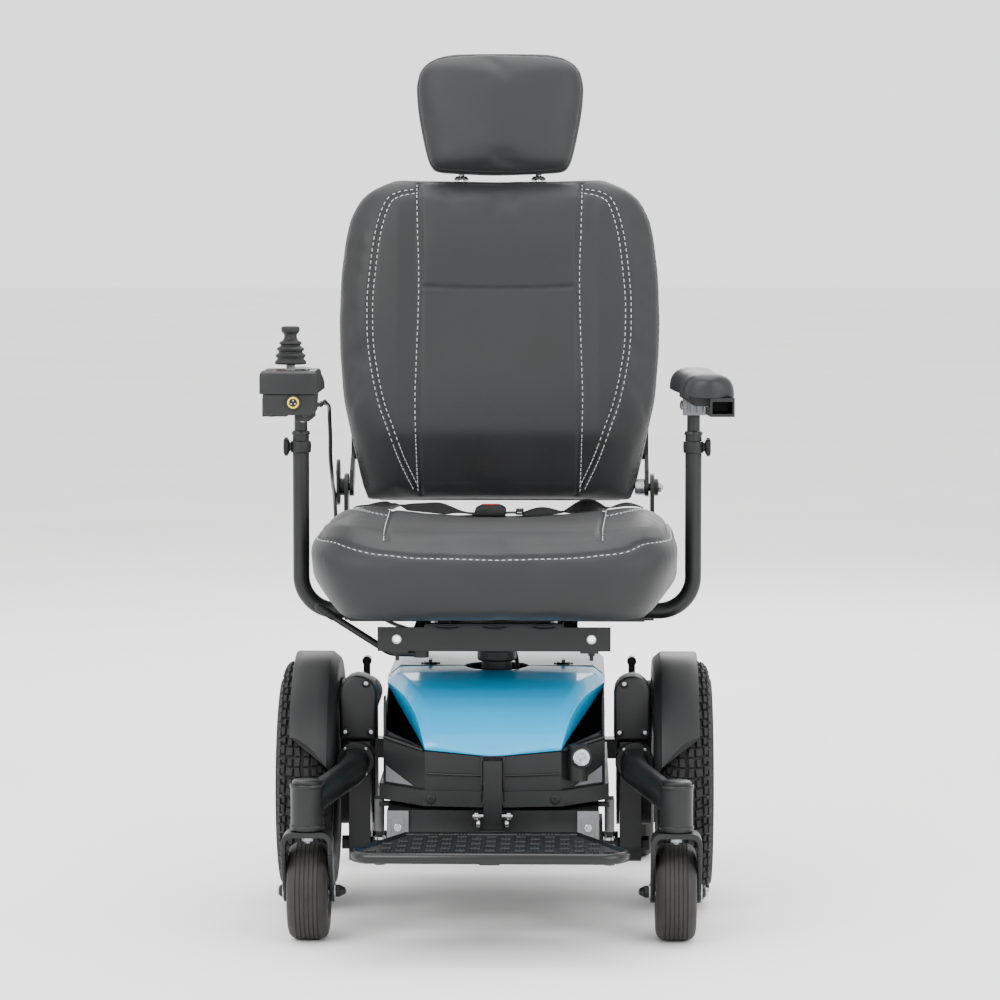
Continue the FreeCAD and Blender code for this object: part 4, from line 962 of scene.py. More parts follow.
def finishSoft(piece, body, finish, replaced, matrix=None):
    if matrix:
        piece.data.transform(Matrix.Scale(mm, 4) @ matrix @ Matrix.Scale(1 / mm, 4))
    piece.data.materials.clear()
    piece.data.materials.append(finish)
    piece.data.shade_smooth()
    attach(piece, body)
    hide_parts(*replaced)


# Backrest cushion
backrest = dict(
    front=-60, rear=24, top=466, bottom=-26,
    halfWidths=[(-30, 204), (0, 214), (52, 226), (128, 243), (200, 249), (250, 250), (320, 247),
                (370, 241), (405, 233), (430, 220), (446, 204), (456, 186), (464, 164)],
    panel=[(120, 452), (118, 372), (116, 296), (119, 190), (121, 126), (119, 40), (117, -14)],
    wing=[(124, 440), (150, 434), (167, 420), (181, 375), (190, 305), (192.5, 262), (190, 200), (177, 130),
          (163, 88), (144, 37), (123, -6)],
    pillow=[(-117, 295), (-60, 292.4), (0, 291.5), (60, 292.4), (117, 295)])


def backrestCushion():
    b = backrest
    work = bmesh.new()
    rings = []
    levels = [b["bottom"] + k * (b["top"] - b["bottom"]) / 60 for k in range(61)]
    for z in levels:
        below, above = z - b["bottom"], b["top"] - z
        top = math.sqrt(max(0.04, 1 - max(0, 1 - above / 36) ** 2))
        # the lower front tapers back behind the seat
        front = b["front"] + max(0, 76 - z) * 0.42
        thin = math.sqrt(max(0.1, 1 - max(0, 1 - below / 14) ** 2))
        rear = b["rear"]
        middle = (front + rear) / 2
        half = (rear - front) / 2 * min(top, thin)
        rings.append(roundedRing(between(b["halfWidths"], z) - 2, middle - half, middle + half, z, 3.4, 96))
    addLoft(work, rings)
    piece = inflate(work, "backrest_cushion", 5.5, 3.5, 8)
    points = readPoints(piece.data)
    # wings stand forward of the middle panel, and the pillow above the cross seam is fuller
    for i, (x, y, z) in enumerate(points / mm):
        if y < -14:
            share = min(1, (-14 - y) / 24)
            hollow = 9 * (1 - min(1, abs(x) / 150) ** 4)
            pillow = 5 * math.exp(-((z - 372) / 62) ** 2) * (1 - min(1,
                                                                     abs(x) / 118) ** 6) if z > 286 else 0
            lumbar = 7 * math.exp(-((z - 130) / 90) ** 2) * (1 - min(1, abs(x) / 125) ** 4)
            points[i, 1] += (hollow - pillow - lumbar) * share * mm
    writePoints(piece.data, points)
    surface = surfaceOf(piece)
    toRear = (0, 1, 0)
    rows = {}
    for side in (-1, 1):
        for key in ("panel", "wing"):
            line = curveThrough([(side * x, 0, z) for x, z in b[key]], 3)
            rows[key, side] = laidOn(surface, line, toRear)
    rows["pillow", 0] = laidOn(surface, curveThrough([(x, 0, z) for x, z in b["pillow"]], 3), toRear)
    # side seam, where front panel meets boxing
    edge = []
    for side in (-1, 1):
        line = [(side * (between(b["halfWidths"], z) + 4), -38, z) for z in range(-10, 440, 12)]
        edge.append(nearOn(surface, [Vector(p) for p in line]))
    pressSeams(piece, list(rows.values()), 3.2, 3.0)
    pressSeams(piece, edge, 2.6, 1.8)
    surface = surfaceOf(piece)
    sewn = bmesh.new()
    for (key, side), row in rows.items():
        if key == "pillow":
            continue
        for offset in ((-4.2, 4.2) if key == "wing" else (side * -3.4,)):
            sewRow(sewn, surface, row, offset)
    sewn.transform(leanBack)
    finishPiece(sewn, "backrest_stitching", "back", [twistedThread])
    sewn.free()
    finishSoft(piece, "back", embossedVinyl, ["backrest"], leanBack)


backrestCushion()
print("backrest ready")


# Seat cushion
seat = dict(
    bottom=439, top=552, rear=181,
    halfWidths=[(438, 218), (446, 230), (470, 243), (495, 255), (514, 263), (530, 267), (542, 265),
                (550, 255),
                (556, 240)],
    fronts=[(438, -268), (446, -281), (470, -285), (505, -286), (522, -284), (535, -274), (545, -252),
            (552, -218), (556, -200)],
    crossSeam=[(-262, 548), (-235, 542), (-200, 536.5), (-120, 530), (0, 527.5), (120, 530), (200, 536.5),
               (235, 542),
               (262, 548)],
    panel=[(148, -240), (149, -180), (152, -60), (155, 80), (157, 168)],
    wing=[(228, 168), (221, 120), (206, 70), (184, 30), (158, 8)])


def seatCushion():
    s = seat
    work = bmesh.new()
    rings = []
    for k in range(29):
        z = s["bottom"] + (s["top"] - s["bottom"]) * k / 28
        rear = s["rear"] - 16 * max(0, (z - 538) / 16) ** 2 - 8 * max(0, (446 - z) / 8)
        rings.append(roundedRing(between(s["halfWidths"], z), between(s["fronts"], z), rear, z, 5.2, 112))
    addLoft(work, rings)
    piece = inflate(work, "seat_cushion_cover", 6, 3.5, 9)
    points = readPoints(piece.data)
    for i, (x, y, z) in enumerate(points / mm):
        if z > 520:
            share = min(1, (z - 520) / 26)
            bolster = 7 * math.exp(-((abs(x) - 205) / 42) ** 2)
            hollow = 7 * math.exp(-(x / 120) ** 4) * math.exp(-((y - 60) / 150) ** 2)
            waterfall = 5 * max(0, (-120 - y) / 150) ** 2
            points[i, 2] += (bolster - hollow - waterfall) * share * mm
    low = s["bottom"] * mm
    points[:, 2] = np.maximum(points[:, 2], low)
    writePoints(piece.data, points)
    surface = surfaceOf(piece)
    down = (0, 0, -1)
    rows = {}
    # seam between top and front boxing, run round the front and along both sides
    loop = []
    for turn in range(-158, 159, 2):
        a = math.radians(turn)
        aim = Vector((math.sin(a), -math.cos(a), 0))
        across = max(-262, min(262, 246 * math.tan(a))) if abs(turn) < 60 else 262
        height = between(s["crossSeam"], across)
        start = Vector((0, -40, height)) + aim * 500
        place = surface.ray_cast(start * mm, -aim)[0]
        if place is not None:
            loop.append(place / mm)
    rows["loop"] = nearOn(surface, curveThrough(loop[::3], 3))
    for side in (-1, 1):
        rows["panel", side] = laidOn(surface, curveThrough([(side * x, y, 560) for x, y in s["panel"]],
                                                           3), down)
        rows["wing", side] = laidOn(surface, curveThrough([(side * x, y, 560) for x, y in s["wing"]], 3),
                                    down)
    pressSeams(piece, [rows["loop"]], 3.0, 3.4)
    pressSeams(piece, [row for key, row in rows.items() if key != "loop"], 3.2, 2.8)
    surface = surfaceOf(piece)
    sewn = bmesh.new()
    sewRow(sewn, surface, rows["loop"], 5.0)
    for side in (-1, 1):
        sewRow(sewn, surface, rows["panel", side], side * 3.6)
        for offset in (-4.2, 4.2):
            sewRow(sewn, surface, rows["wing", side], offset)
    finishPiece(sewn, "seat_stitching", "seat", [twistedThread])
    sewn.free()
    finishSoft(piece, "seat", embossedVinyl, ["seat_cushion"])
    return surface


seatSurface = seatCushion()
print("seat cushion ready")


# Headrest
headrest = dict(front=-62, rear=22, bottom=471.5, top=650,
                halfWidths=[(470, 96), (476, 104), (488, 110), (505, 114), (535, 120), (570, 126),
                            (600, 128),
                            (622, 124), (636, 114), (645, 98), (651, 78)])


def headrestCushion():
    h = headrest
    work = bmesh.new()
    rings = []
    for k in range(33):
        z = h["bottom"] + (h["top"] - h["bottom"]) * k / 32
        over = max(0, 1 - (h["top"] - z) / 34)
        under = max(0, 1 - (z - h["bottom"]) / 20)
        half = (h["rear"] - h["front"]) / 2 * math.sqrt(max(0.08, 1 - over ** 2))
        half *= math.sqrt(max(0.2, 1 - under ** 2))
        middle = (h["rear"] + h["front"]) / 2 + 4 * over
        rings.append(roundedRing(between(h["halfWidths"], z) - 2, middle - half, middle + half, z, 3.2, 72))
    addLoft(work, rings)
    piece = inflate(work, "headrest_cushion", 5, 3.5, 6)
    surface = surfaceOf(piece)
    # boxing seam: round the face, just inside the outline
    loop = []
    for turn in range(0, 360, 6):
        a = math.radians(turn)
        aim = Vector((math.cos(a), 0, math.sin(a)))
        place = surface.ray_cast((Vector((0, -34, 566)) + aim * 300) * mm, -aim)[0]
        loop.append(place / mm)
    row = nearOn(surface, curveThrough(loop + loop[:1], 3))
    pressSeams(piece, [row], 3.2, 2.6)
    surface = surfaceOf(piece)
    piping = bmesh.new()
    addTube(piping, [p + n * 0.1 for p, n in nearOn(surface, [p for p, n in row[:-1]])], 1.5, 8, 0,
            loop=True)
    # collars where the posts enter the backrest
    for side in (-1, 1):
        addTurned(piping, [(5.4, 462), (11, 462), (11, 464.6), (8.6, 467), (5.4, 467)],
                  (side * 58, -8, 0), (0, 0, 1), 32, 1)
    piping.transform(leanBack)
    finishPiece(piping, "headrest_piping", "headrest", [embossedVinyl, polishedAbs])
    piping.free()
    finishSoft(piece, "headrest", embossedVinyl, ["headrest"], leanBack)


headrestCushion()
print("headrest ready")


# Front shroud: one smooth lacquered panel
hood = dict(seamY=19.25, half=157, noseHalf=96, noseSide=-238, nose=-252, taperFrom=-30, holeRadius=46,
            holeY=20,
            tops=[(-252, 249), (-245, 257), (-236, 268), (-225, 281), (-210, 295), (-190, 308.5),
                  (-165, 319),
                  (-132, 328.5), (-90, 336), (-40, 341.5), (20, 344)],
            edges=[(-252, 248.5), (-225, 262.5), (-5, 330.5), (20, 330.5)])


def hoodHalf(y):
    if y > hood["taperFrom"]:
        return hood["half"]
    share = (hood["taperFrom"] - y) / (hood["taperFrom"] - hood["noseSide"])
    return hood["half"] - (hood["half"] - hood["noseHalf"]) * min(1, share)


def hoodTop(x, y):
    inside = max(0, hoodHalf(y) - abs(x))
    depth = 5 + 9 * min(1, max(0, (y + 215) / 150))
    bevel = depth * max(0, 1 - inside / 17) ** 1.15
    return between(hood["tops"], y) - 2 * (x / hood["half"]) ** 2 - bevel


def frontShroud():
    work = bmesh.new()
    columns = []
    across = 72
    for k in range(across + 1):
        p = -1 + 2 * k / across
        xStart = hood["half"] * p
        gap = hood["holeRadius"] ** 2 - xStart ** 2
        yStart = hood["seamY"] if gap < 0 else min(hood["seamY"], hood["holeY"] - math.sqrt(gap))
        share = abs(p) / 0.7
        if share <= 1:
            xEnd, yEnd = hood["noseHalf"] * share, hood["nose"] + (hood["noseSide"] - hood["nose"]) * share
        else:
            run = (abs(p) - 0.7) / 0.3
            along = min(1, run / 0.82)
            xEnd = hood["noseHalf"] + (hood["half"] - hood["noseHalf"]) * along
            yEnd = hood["noseSide"] + (hood["taperFrom"] - hood["noseSide"]) * along
            if run > 0.82:
                yEnd += (hood["seamY"] - 1 - hood["taperFrom"]) * (run - 0.82) / 0.18
        xEnd = math.copysign(xEnd, p)
        column = []
        for row in range(41):
            q = row / 40
            x, y = xStart + (xEnd - xStart) * q, yStart + (yEnd - yStart) * q
            column.append((x, y, max(hoodTop(x, y), between(hood["edges"], y) + 1.5)))
        x, y = column[-1][:2]
        column.append((x * 1.001, y - 0.3, between(hood["edges"], y)))
        columns.append([work.verts.new(point) for point in column])
    for left, right in zip(columns, columns[1:]):
        for row in range(41):
            work.faces.new((left[row], right[row], right[row + 1], left[row + 1]))
    piece = finishPiece(work, "front_panel", "chassis", [lacqueredCyan], ["front_shroud"], 40)
    work.free()
    wall = piece.modifiers.new("wall", "SOLIDIFY")
    wall.thickness = 2.6 * mm
    wall.offset = -1 if piece.data.polygons[len(piece.data.polygons) // 2].normal.z > 0 else 1
    bakeModifiers(piece)


frontShroud()


coverFittings = dict(screwX=86, screwZ=188, railX=132.5, damper=(162.75, -150), lamp=(123, -238, 246))


def coverTrim():
    fit = coverFittings
    # raised strips, channel edges, screws and lamp lens on the black cover under the panel
    work = bmesh.new()
    for side in (-1, 1):
        strip = [(side * 153.5, -176, 324), (side * 153.5, -178, 300), (side * 153, -180, 270)]
        addTube(work, strip, [2.6, 3.4, 3.8], 8, 0, flat=0.7)
        brow = [(side * 153, -181, 266), (side * 126, -209, 261), (side * 97, -239, 255.5)]
        addTube(work, brow, [4.2, 4.6, 3.4], 8, 0, flat=0.8)
        ledge = [(side * 16, -251.5, 222), (side * 55, -245.8, 222), (side * 93, -240, 223)]
        addTube(work, ledge, 1.7, 8, 1)
        addBlock(work, (side * 15 - 1.4, -256, 186), (side * 15 + 1.4, -249, 250), 0.8, 0)
        # pale grey wedge at each lower corner: a painted highlight where the angled face catches the light
        wedge = [(side * 152, 226), (side * 152, 203), (side * 112, 203)]
        front = [work.verts.new((x, -175 - (156 - abs(x)) * 63 / 61 - 1.6, z)) for x, z in wedge]
        back = [work.verts.new((x, -175 - (156 - abs(x)) * 63 / 61 + 2, z)) for x, z in wedge]
        for face in ((front[0], front[1], front[2]), (back[2], back[1], back[0])):
            work.faces.new(face).material_index = 2
        for a, b in ((0, 1), (1, 2), (2, 0)):
            work.faces.new((front[a], back[a], back[b], front[b])).material_index = 2
        addScrew(work, (side * fit["screwX"], -245.6, fit["screwZ"]), (0, -1, 0), 6.4, 3.4, 1)
        addTurned(work, [(6.4, 0), (8.2, 0), (8.2, 1.2), (6.4, 1.2)],
                  (side * fit["screwX"], -245.2, fit["screwZ"]), (0, -1, 0), 24, 0)
    addBlock(work, (-16, -256, 247.5), (16, -249, 250), 0.8, 0)
    # lamp: bezel, faceted reflector and clear lens
    centre = fit["lamp"]
    addTurned(work, [(12.2, -4), (15, -4), (15.4, 2), (14.4, 5), (12.6, 5.4), (12.2, 3)], centre,
              (0, -1, 0), 40, 1)
    addTurned(work, [(12.2, 1), (8, 1.6), (3.6, -1.4), (0, -2)], centre, (0, -1, 0), 12, 3)
    addTurned(work, [(12.2, 3.4), (11.4, 5.6), (7.4, 7.2), (5.4, 6.2), (2.6, 7.6), (0, 7.8)], centre,
              (0, -1, 0), 10, 4)
    finishPiece(work, "cover_trim", "chassis",
                [polishedAbs, mouldedAbs, greyCoatAndPaintedHighlight, chromePlate, clearPolycarbonate])
    work.free()
    # capped ends of the base rails, each with its bolt
    work = bmesh.new()
    for side in (-1, 1):
        rail = side * fit["railX"]
        addBlock(work, (rail - 15.4, -251.4, 125.6), (rail + 15.4, -247.6, 172.4), 1.6, 0)
        addBlock(work, (rail - 9, -252.6, 136), (rail + 9, -251, 162), 0.7, 0)
        addNut(work, (rail, -252.4, 149), (0, -1, 0), 6, 3.4, 1)
    finishPiece(work, "rail_end_caps", "chassis", [greyCoatAndPaintedHighlight, zincPlate])
    work.free()
    # bright rings on the suspension dampers
    work = bmesh.new()
    for side in (-1, 1):
        foot = (side * fit["damper"][0], fit["damper"][1], 0)
        for z in (84, 104, 116):
            addTurned(work, [(6.6, z), (8.6, z), (8.6, z + 4), (6.6, z + 4)], foot, (0, 0, 1), 24, 0)
        addTurned(work, [(6.7, 128), (7.0, 130), (7.0, 172), (6.7, 174)], foot, (0, 0, 1), 24, 1)
    finishPiece(work, "damper_rings", "chassis", [zincPlate, greyCoatAndPaintedHighlight])
    work.free()


coverTrim()
print("covers ready")


# Arm pads and their undersides
armrest = dict(x=285.5, y=40, padTop=776.5, padLow=746.4, padFront=-240, padRear=60, half=35.5, flare=3)
turnOut = (Matrix.Translation((armrest["x"], armrest["y"],
                               0)) @ Matrix.Rotation(math.radians(armrest["flare"]), 4, "Z")
           @ Matrix.Translation((-armrest["x"], -armrest["y"], 0)))
armSides = [("left", turnOut, False), ("right", None, True)]


def armPads():
    a = armrest
    for side, turned, mirrored in armSides:
        work = bmesh.new()
        rings = []
        for k in range(61):
            t = k / 60
            y = a["padFront"] + (a["padRear"] - a["padFront"]) * t
            fromEnd = min(t, 1 - t) * 300
            end = math.sqrt(max(0.02, 1 - max(0, 1 - fromEnd / 26) ** 2))
            waist = 1 - 0.09 * math.exp(-((t - 0.45) / 0.22) ** 2)
            swell = 3.0 * math.exp(-((t - 0.1) / 0.16) ** 2) + 1.6 * math.exp(-((t - 0.85) / 0.14) ** 2)
            half, high = a["half"] * waist * end, (a["padTop"] - a["padLow"] + swell) * (0.62 + 0.38 * end)
            ring = []
            for x, z, level in roundedRing(half, -high, high, 0, 2.7, 40):
                ring.append((a["x"] + x, y, a["padLow"] + max(z, -0.5) * (1 if z > 0 else 0.2)))
            rings.append(ring)
        addLoft(work, rings)
        piece = finishPiece(work, side + "_pad", side + "_arm_pad", [integralSkinFoam],
                            [side + "_arm_pad"], 60, turned, mirrored)
        work.free()
        # ribbed cover over the hinge, screws under the beam; the left cover is pale grey as a painted
        # highlight, the right one black
        work = bmesh.new()
        addBlock(work, (268, 19, 708), (303, 23, 745.6), 1.4, 0)
        for k in range(4):
            addBlock(work, (269.5 + k * 9.4, 16.2, 712), (273.5 + k * 9.4, 20, 744), 1.0, 0)
        for y in (-190, -120, -40):
            addScrew(work, (285.5, y, 734), (0, 0, -1), 4.4, 2.6, 1)
        addTurned(work, [(4.05, 14.6), (7.4, 14.6), (7.4, 18), (5, 19.4), (0, 19.4)], (285.5, 40, 722),
                  (1, 0, 0), 24, 1)
        addTurned(work, [(4.05, 14.6), (7.4, 14.6), (7.4, 18), (5, 19.4), (0, 19.4)], (285.5, 40, 722),
                  (-1, 0, 0), 24, 1)
        finishPiece(work, side + "_pad_hinge_cover", side + "_arm_pad",
                    [greyCoatAndPaintedHighlight if side == "left" else mouldedAbs, zincPlate], (), 34, turned,
                    mirrored)
        work.free()


armPads()


armKnob = dict(x=285.5, y=40, z=661, foot=12, ribs=12, ribCircle=12.1)


def armKnobs():
    knob = armKnob
    work = bmesh.new()
    rise = [(0, 0.4), (6, 0.4), (6.4, 1.4), (6.4, 4), (9, 5), (11.6, 6.4), (12.2, 8), (12.2, 11.6),
            (10.6, 13), (0, 13.4)]
    centre = (knob["x"] + knob["foot"], knob["y"], knob["z"])
    addTurned(work, rise, centre, (1, 0, 0), 36)
    for k in range(knob["ribs"]):
        turn = math.radians(360 / knob["ribs"] * k)
        y = knob["y"] + knob["ribCircle"] * math.cos(turn)
        z = knob["z"] + knob["ribCircle"] * math.sin(turn)
        addTube(work, [(304.6, y, z), (309.2, y, z)], 1.5, 8)
    finishPair(work, "arm_knob_grip", "arm_knob", [mouldedSilicone], ["arm_knob"])
    # plastic collar where the inner tube slides
    work = bmesh.new()
    addTurned(work, [(9.7, 679), (13.4, 679), (13.4, 681), (12, 684), (9.7, 685)],
              (knob["x"], knob["y"], 0), (0, 0, 1), 32)
    addTurned(work, [(12.05, 652), (14.6, 653), (15.2, 661), (14.6, 669), (12.05, 670)],
              (knob["x"], knob["y"], 0), (0, 0, 1), 32)
    finishPair(work, "arm_collar", "arm_tube", [mouldedAbs])


armKnobs()
print("armrests ready")


# Controller
controller = dict(x=-272, front=-398, rear=-292, bottom=730, top=790, stickY=-345)


def controllerPieces():
    c = controller
    work = bmesh.new()
    x = c["x"]
    # upper shell in a ring round the stick's well: four walls and the deck
    well = 27
    deck = []
    for k in range(48):
        turn = 2 * math.pi * k / 48
        cosine, sine = math.cos(turn), math.sin(turn)
        reach = min(38.6 / max(abs(cosine), 1e-6), 52.6 / max(abs(sine), 1e-6))
        deck.append((cosine, sine, reach))
    rows = []
    corners = [(1.0, 759), (1.0, 782), (0.985, 786.5), (0.93, 789.4), (0.88, 790)]
    for shrink, z in corners:
        rows.append([work.verts.new((x + cosine * reach * shrink, c["stickY"] + sine * reach * shrink, z))
                     for cosine, sine, reach in deck])
    for radius, z in ((well + 2.5, 790), (well, 788), (well, 764)):
        rows.append([work.verts.new((x + cosine * radius, c["stickY"] + sine * radius, z)) for cosine,
                     sine, reach in deck])
    rows.append([work.verts.new((x + cosine * 12, c["stickY"] + sine * 12, 763)) for cosine, sine,
                 reach in deck])
    for lower, higher in zip(rows, rows[1:]):
        for k in range(48):
            j = (k + 1) % 48
            work.faces.new((lower[k], lower[j], higher[j], higher[k]))
    work.faces.new(rows[-1])
    work.faces.new(rows[0][::-1])
    # lower shell, feet, fixing bracket
    lowerShell = [(x - 31, 730.4), (x + 31, 730.4), (x + 33, 733), (x + 34.5, 756), (x + 33, 759.4),
                  (x - 33, 759.4),
                  (x - 34.5, 756), (x - 33, 733)]
    addPrism(work, lowerShell, "y", c["front"] + 3.5, c["rear"] - 4, 2.2, 0, 3)
    for footX in (x - 24, x + 24):
        addTurned(work, [(5.5, 0), (5.5, 2.2), (4.4, 3.4), (0, 3.4)], (footX, c["front"] + 22, 731),
                  (0, 0, -1), 20, 1)
    addBlock(work, (x + 4, -326, 718.2), (x + 24, -194, 730.4), 1.2, 4)
    addScrew(work, (x + 14, -300, 718.4), (0, 0, -1), 4.2, 2.4, 5)
    # charging socket in the front wall
    port = (-265, c["front"] + 3.6, 747.5)
    addTurned(work, [(7.8, -1), (11.2, -1), (11.2, 1.8), (10, 3), (7.8, 3)], port, (0, -1, 0), 36, 1)
    addTurned(work, [(5.6, 0), (7.8, 0), (7.8, 3.4), (6.8, 3.9), (5.6, 3.4)], port, (0, -1, 0), 36, 2)
    addTurned(work, [(5.6, 2.2), (0, 2.2)], port, (0, -1, 0), 24, 1)
    for turn in (90, 210, 330):
        a = math.radians(turn)
        addTurned(work, [(1.1, 2.2), (1.1, 3.4), (0, 3.4)], (port[0] + 3 * math.cos(a), port[1], port[2]
                                                             + 3 * math.sin(a)),
                  (0, -1, 0), 10, 5)
    # charge lights and speed buttons on the deck
    for k in range(5):
        addBlock(work, (x - 28 + k * 6, -390.4, 789.2), (x - 24 + k * 6, -387.8, 790.4), 0.3, 2
                 if k < 2 else 3, 1)
    for spot in (x - 26, x - 12):
        addTurned(work, [(4.8, 0), (4.8, 1), (4.2, 1.6), (0, 1.9)], (spot, -379, 789.6), (0, 0, 1), 24, 1)
    finishPiece(work, "controller_shell", "right_arm_pad",
                [mouldedAbs, mouldedSilicone, yellowNylon, dyedNylon, powderCoatedSteel, zincPlate],
                ["controller_case"], 34)
    work.free()
    # bellows and grip
    work = bmesh.new()
    profile = [(0, 797), (20.6, 797), (21.6, 799), (21.4, 801), (18.2, 804), (18.0, 805), (20.4, 808),
               (20.4, 810),
               (16.2, 813), (16.0, 814), (18.6, 817), (18.4, 819), (13.6, 822), (13.4, 823),
               (15.4, 825.4), (14.6, 827.4),
               (10.4, 829.6), (8.8, 833), (8.6, 837), (10.4, 839.4), (12.4, 841.6), (12.6, 846),
               (11.6, 847.8),
               (9, 848.6), (0, 848.6)]
    addTurned(work, profile, (x, c["stickY"], 0), (0, 0, 1), 48)
    finishPiece(work, "stick_bellows", "joystick", [mouldedSilicone], ["joystick"], 50)
    work.free()
    work = bmesh.new()
    addTurned(work, [(0, 764.6), (10.4, 775), (8.6, 781), (6, 784), (6, 797.4), (0, 797.4)],
              (x, c["stickY"], 0), (0, 0, 1), 32)
    finishPiece(work, "stick_shaft", "joystick", [machinedAcetal], ["joystick_pivot"], 50)
    work.free()
    # boot on the cable where it leaves the case, and the tied bundle under the pad
    work = bmesh.new()
    addTube(work, [(-252, -291.6, 742), (-251, -284, 741.4), (-250.6, -276, 740.8), (-250.2, -268, 740.4)],
            [5.4, 5.2, 4.4, 3.6], 16, 0)
    for y in (-222, -126, -38):
        addTurned(work, [(3.1, -1.6), (4.2, -1.4), (4.2, 1.4), (3.1, 1.6)],
                  (-245.8, y, {-222: 735.6, -126: 731.3, -38: 729.6}[y]),
                  (0, 1, 0), 20, 1)
    finishPiece(work, "cable_boot_and_ties", "right_arm_pad",
                [mouldedSilicone, mouldedAbs])
    work.free()


controllerPieces()
print("controller ready")


# Lap belt, lying across the back of the seat
belt = dict(half=23, thick=1.7, buckle=(-34, 12), tongue=(12, 38), y=112)


def lapBelt():
    work = bmesh.new()

    def top(x, y):
        place = seatSurface.ray_cast(Vector((x * mm, y * mm, 0.8)), Vector((0, 0, -1)))[0]
        return place.z / mm if place is not None else 560

    for side in (-1, 1):
        start = 36 if side > 0 else 32
        path = []
        for k in range(33):
            t = k / 32
            x = side * (start + (214 - start) * t)
            y = belt["y"] + 14 * math.sin(t * 2.6) + 24 * t * t
            ripple = 3.2 * (1 + math.sin(t * 13 + side)) * math.sin(math.pi * min(1, t * 1.1))
            ripple += 16 * max(0, t - 0.72)
            path.append((x, y, top(x, min(y, 165)) + 2.2 + ripple))
        left, right = [], []
        for k, (x, y, z) in enumerate(path):
            lean = 0.5 * math.sin(k / 32 * 7 + side) * math.sin(math.pi * k / 32)
            for row, way in ((left, -1), (right, 1)):
                dy = way * belt["half"] * math.cos(lean)
                dz = way * belt["half"] * math.sin(lean)
                row.append((x, y + dy, max(z + dz, top(x, min(y + dy, 165)) + 2.0)))
        lines = [[work.verts.new(p) for p in left], [work.verts.new(p) for p in right],
                 [work.verts.new((x, y, z + belt["thick"])) for x, y, z in right],
                 [work.verts.new((x, y, z + belt["thick"])) for x, y, z in left]]
        for k in range(32):
            for a in range(4):
                b = (a + 1) % 4
                work.faces.new((lines[a][k], lines[b][k], lines[b][k + 1], lines[a][k + 1]))
        work.faces.new([line[0] for line in lines])
        work.faces.new([line[32] for line in lines][::-1])
    base = max(top(0, belt["y"]), top(-30, belt["y"]), top(30, belt["y"])) + 0.8
    y = belt["y"]
    buckle = [(belt["buckle"][0], base), (belt["buckle"][1], base), (belt["buckle"][1], base + 10),
              (belt["buckle"][1] - 8, base + 14.6),
              (belt["buckle"][0] + 10, base + 14.6), (belt["buckle"][0], base + 10)]
    addPrism(work, buckle, "y", y - 25, y + 25, 3, 1, 4)
    addBlock(work, (belt["buckle"][0] + 10, y - 13, base + 13.6),
             (belt["buckle"][1] - 9, y + 13, base + 16), 1.4, 2)
    addBlock(work, (belt["tongue"][0] - 3, y - 17, base + 3), (belt["tongue"][1] - 6, y + 17, base + 5.2),
             0.8, 3)
    addBlock(work, (belt["tongue"][1] - 12, y - 25, base + 2), (belt["tongue"][1], y + 25, base + 9), 2.6,
             3, 3)
    finishPiece(work, "belt_and_buckle", "seat",
                [wovenPolyester, mouldedAbs, dyedNylon, chromePlate],
                ["lap_belt"], 40)
    work.free()


lapBelt()


# Fittings at the recline hinges and under the seat
seatFittingPlaces = dict(hinge=(211, 590), barHole=137, plateNut=84, postY=20, boltCircle=34, bolts=6)


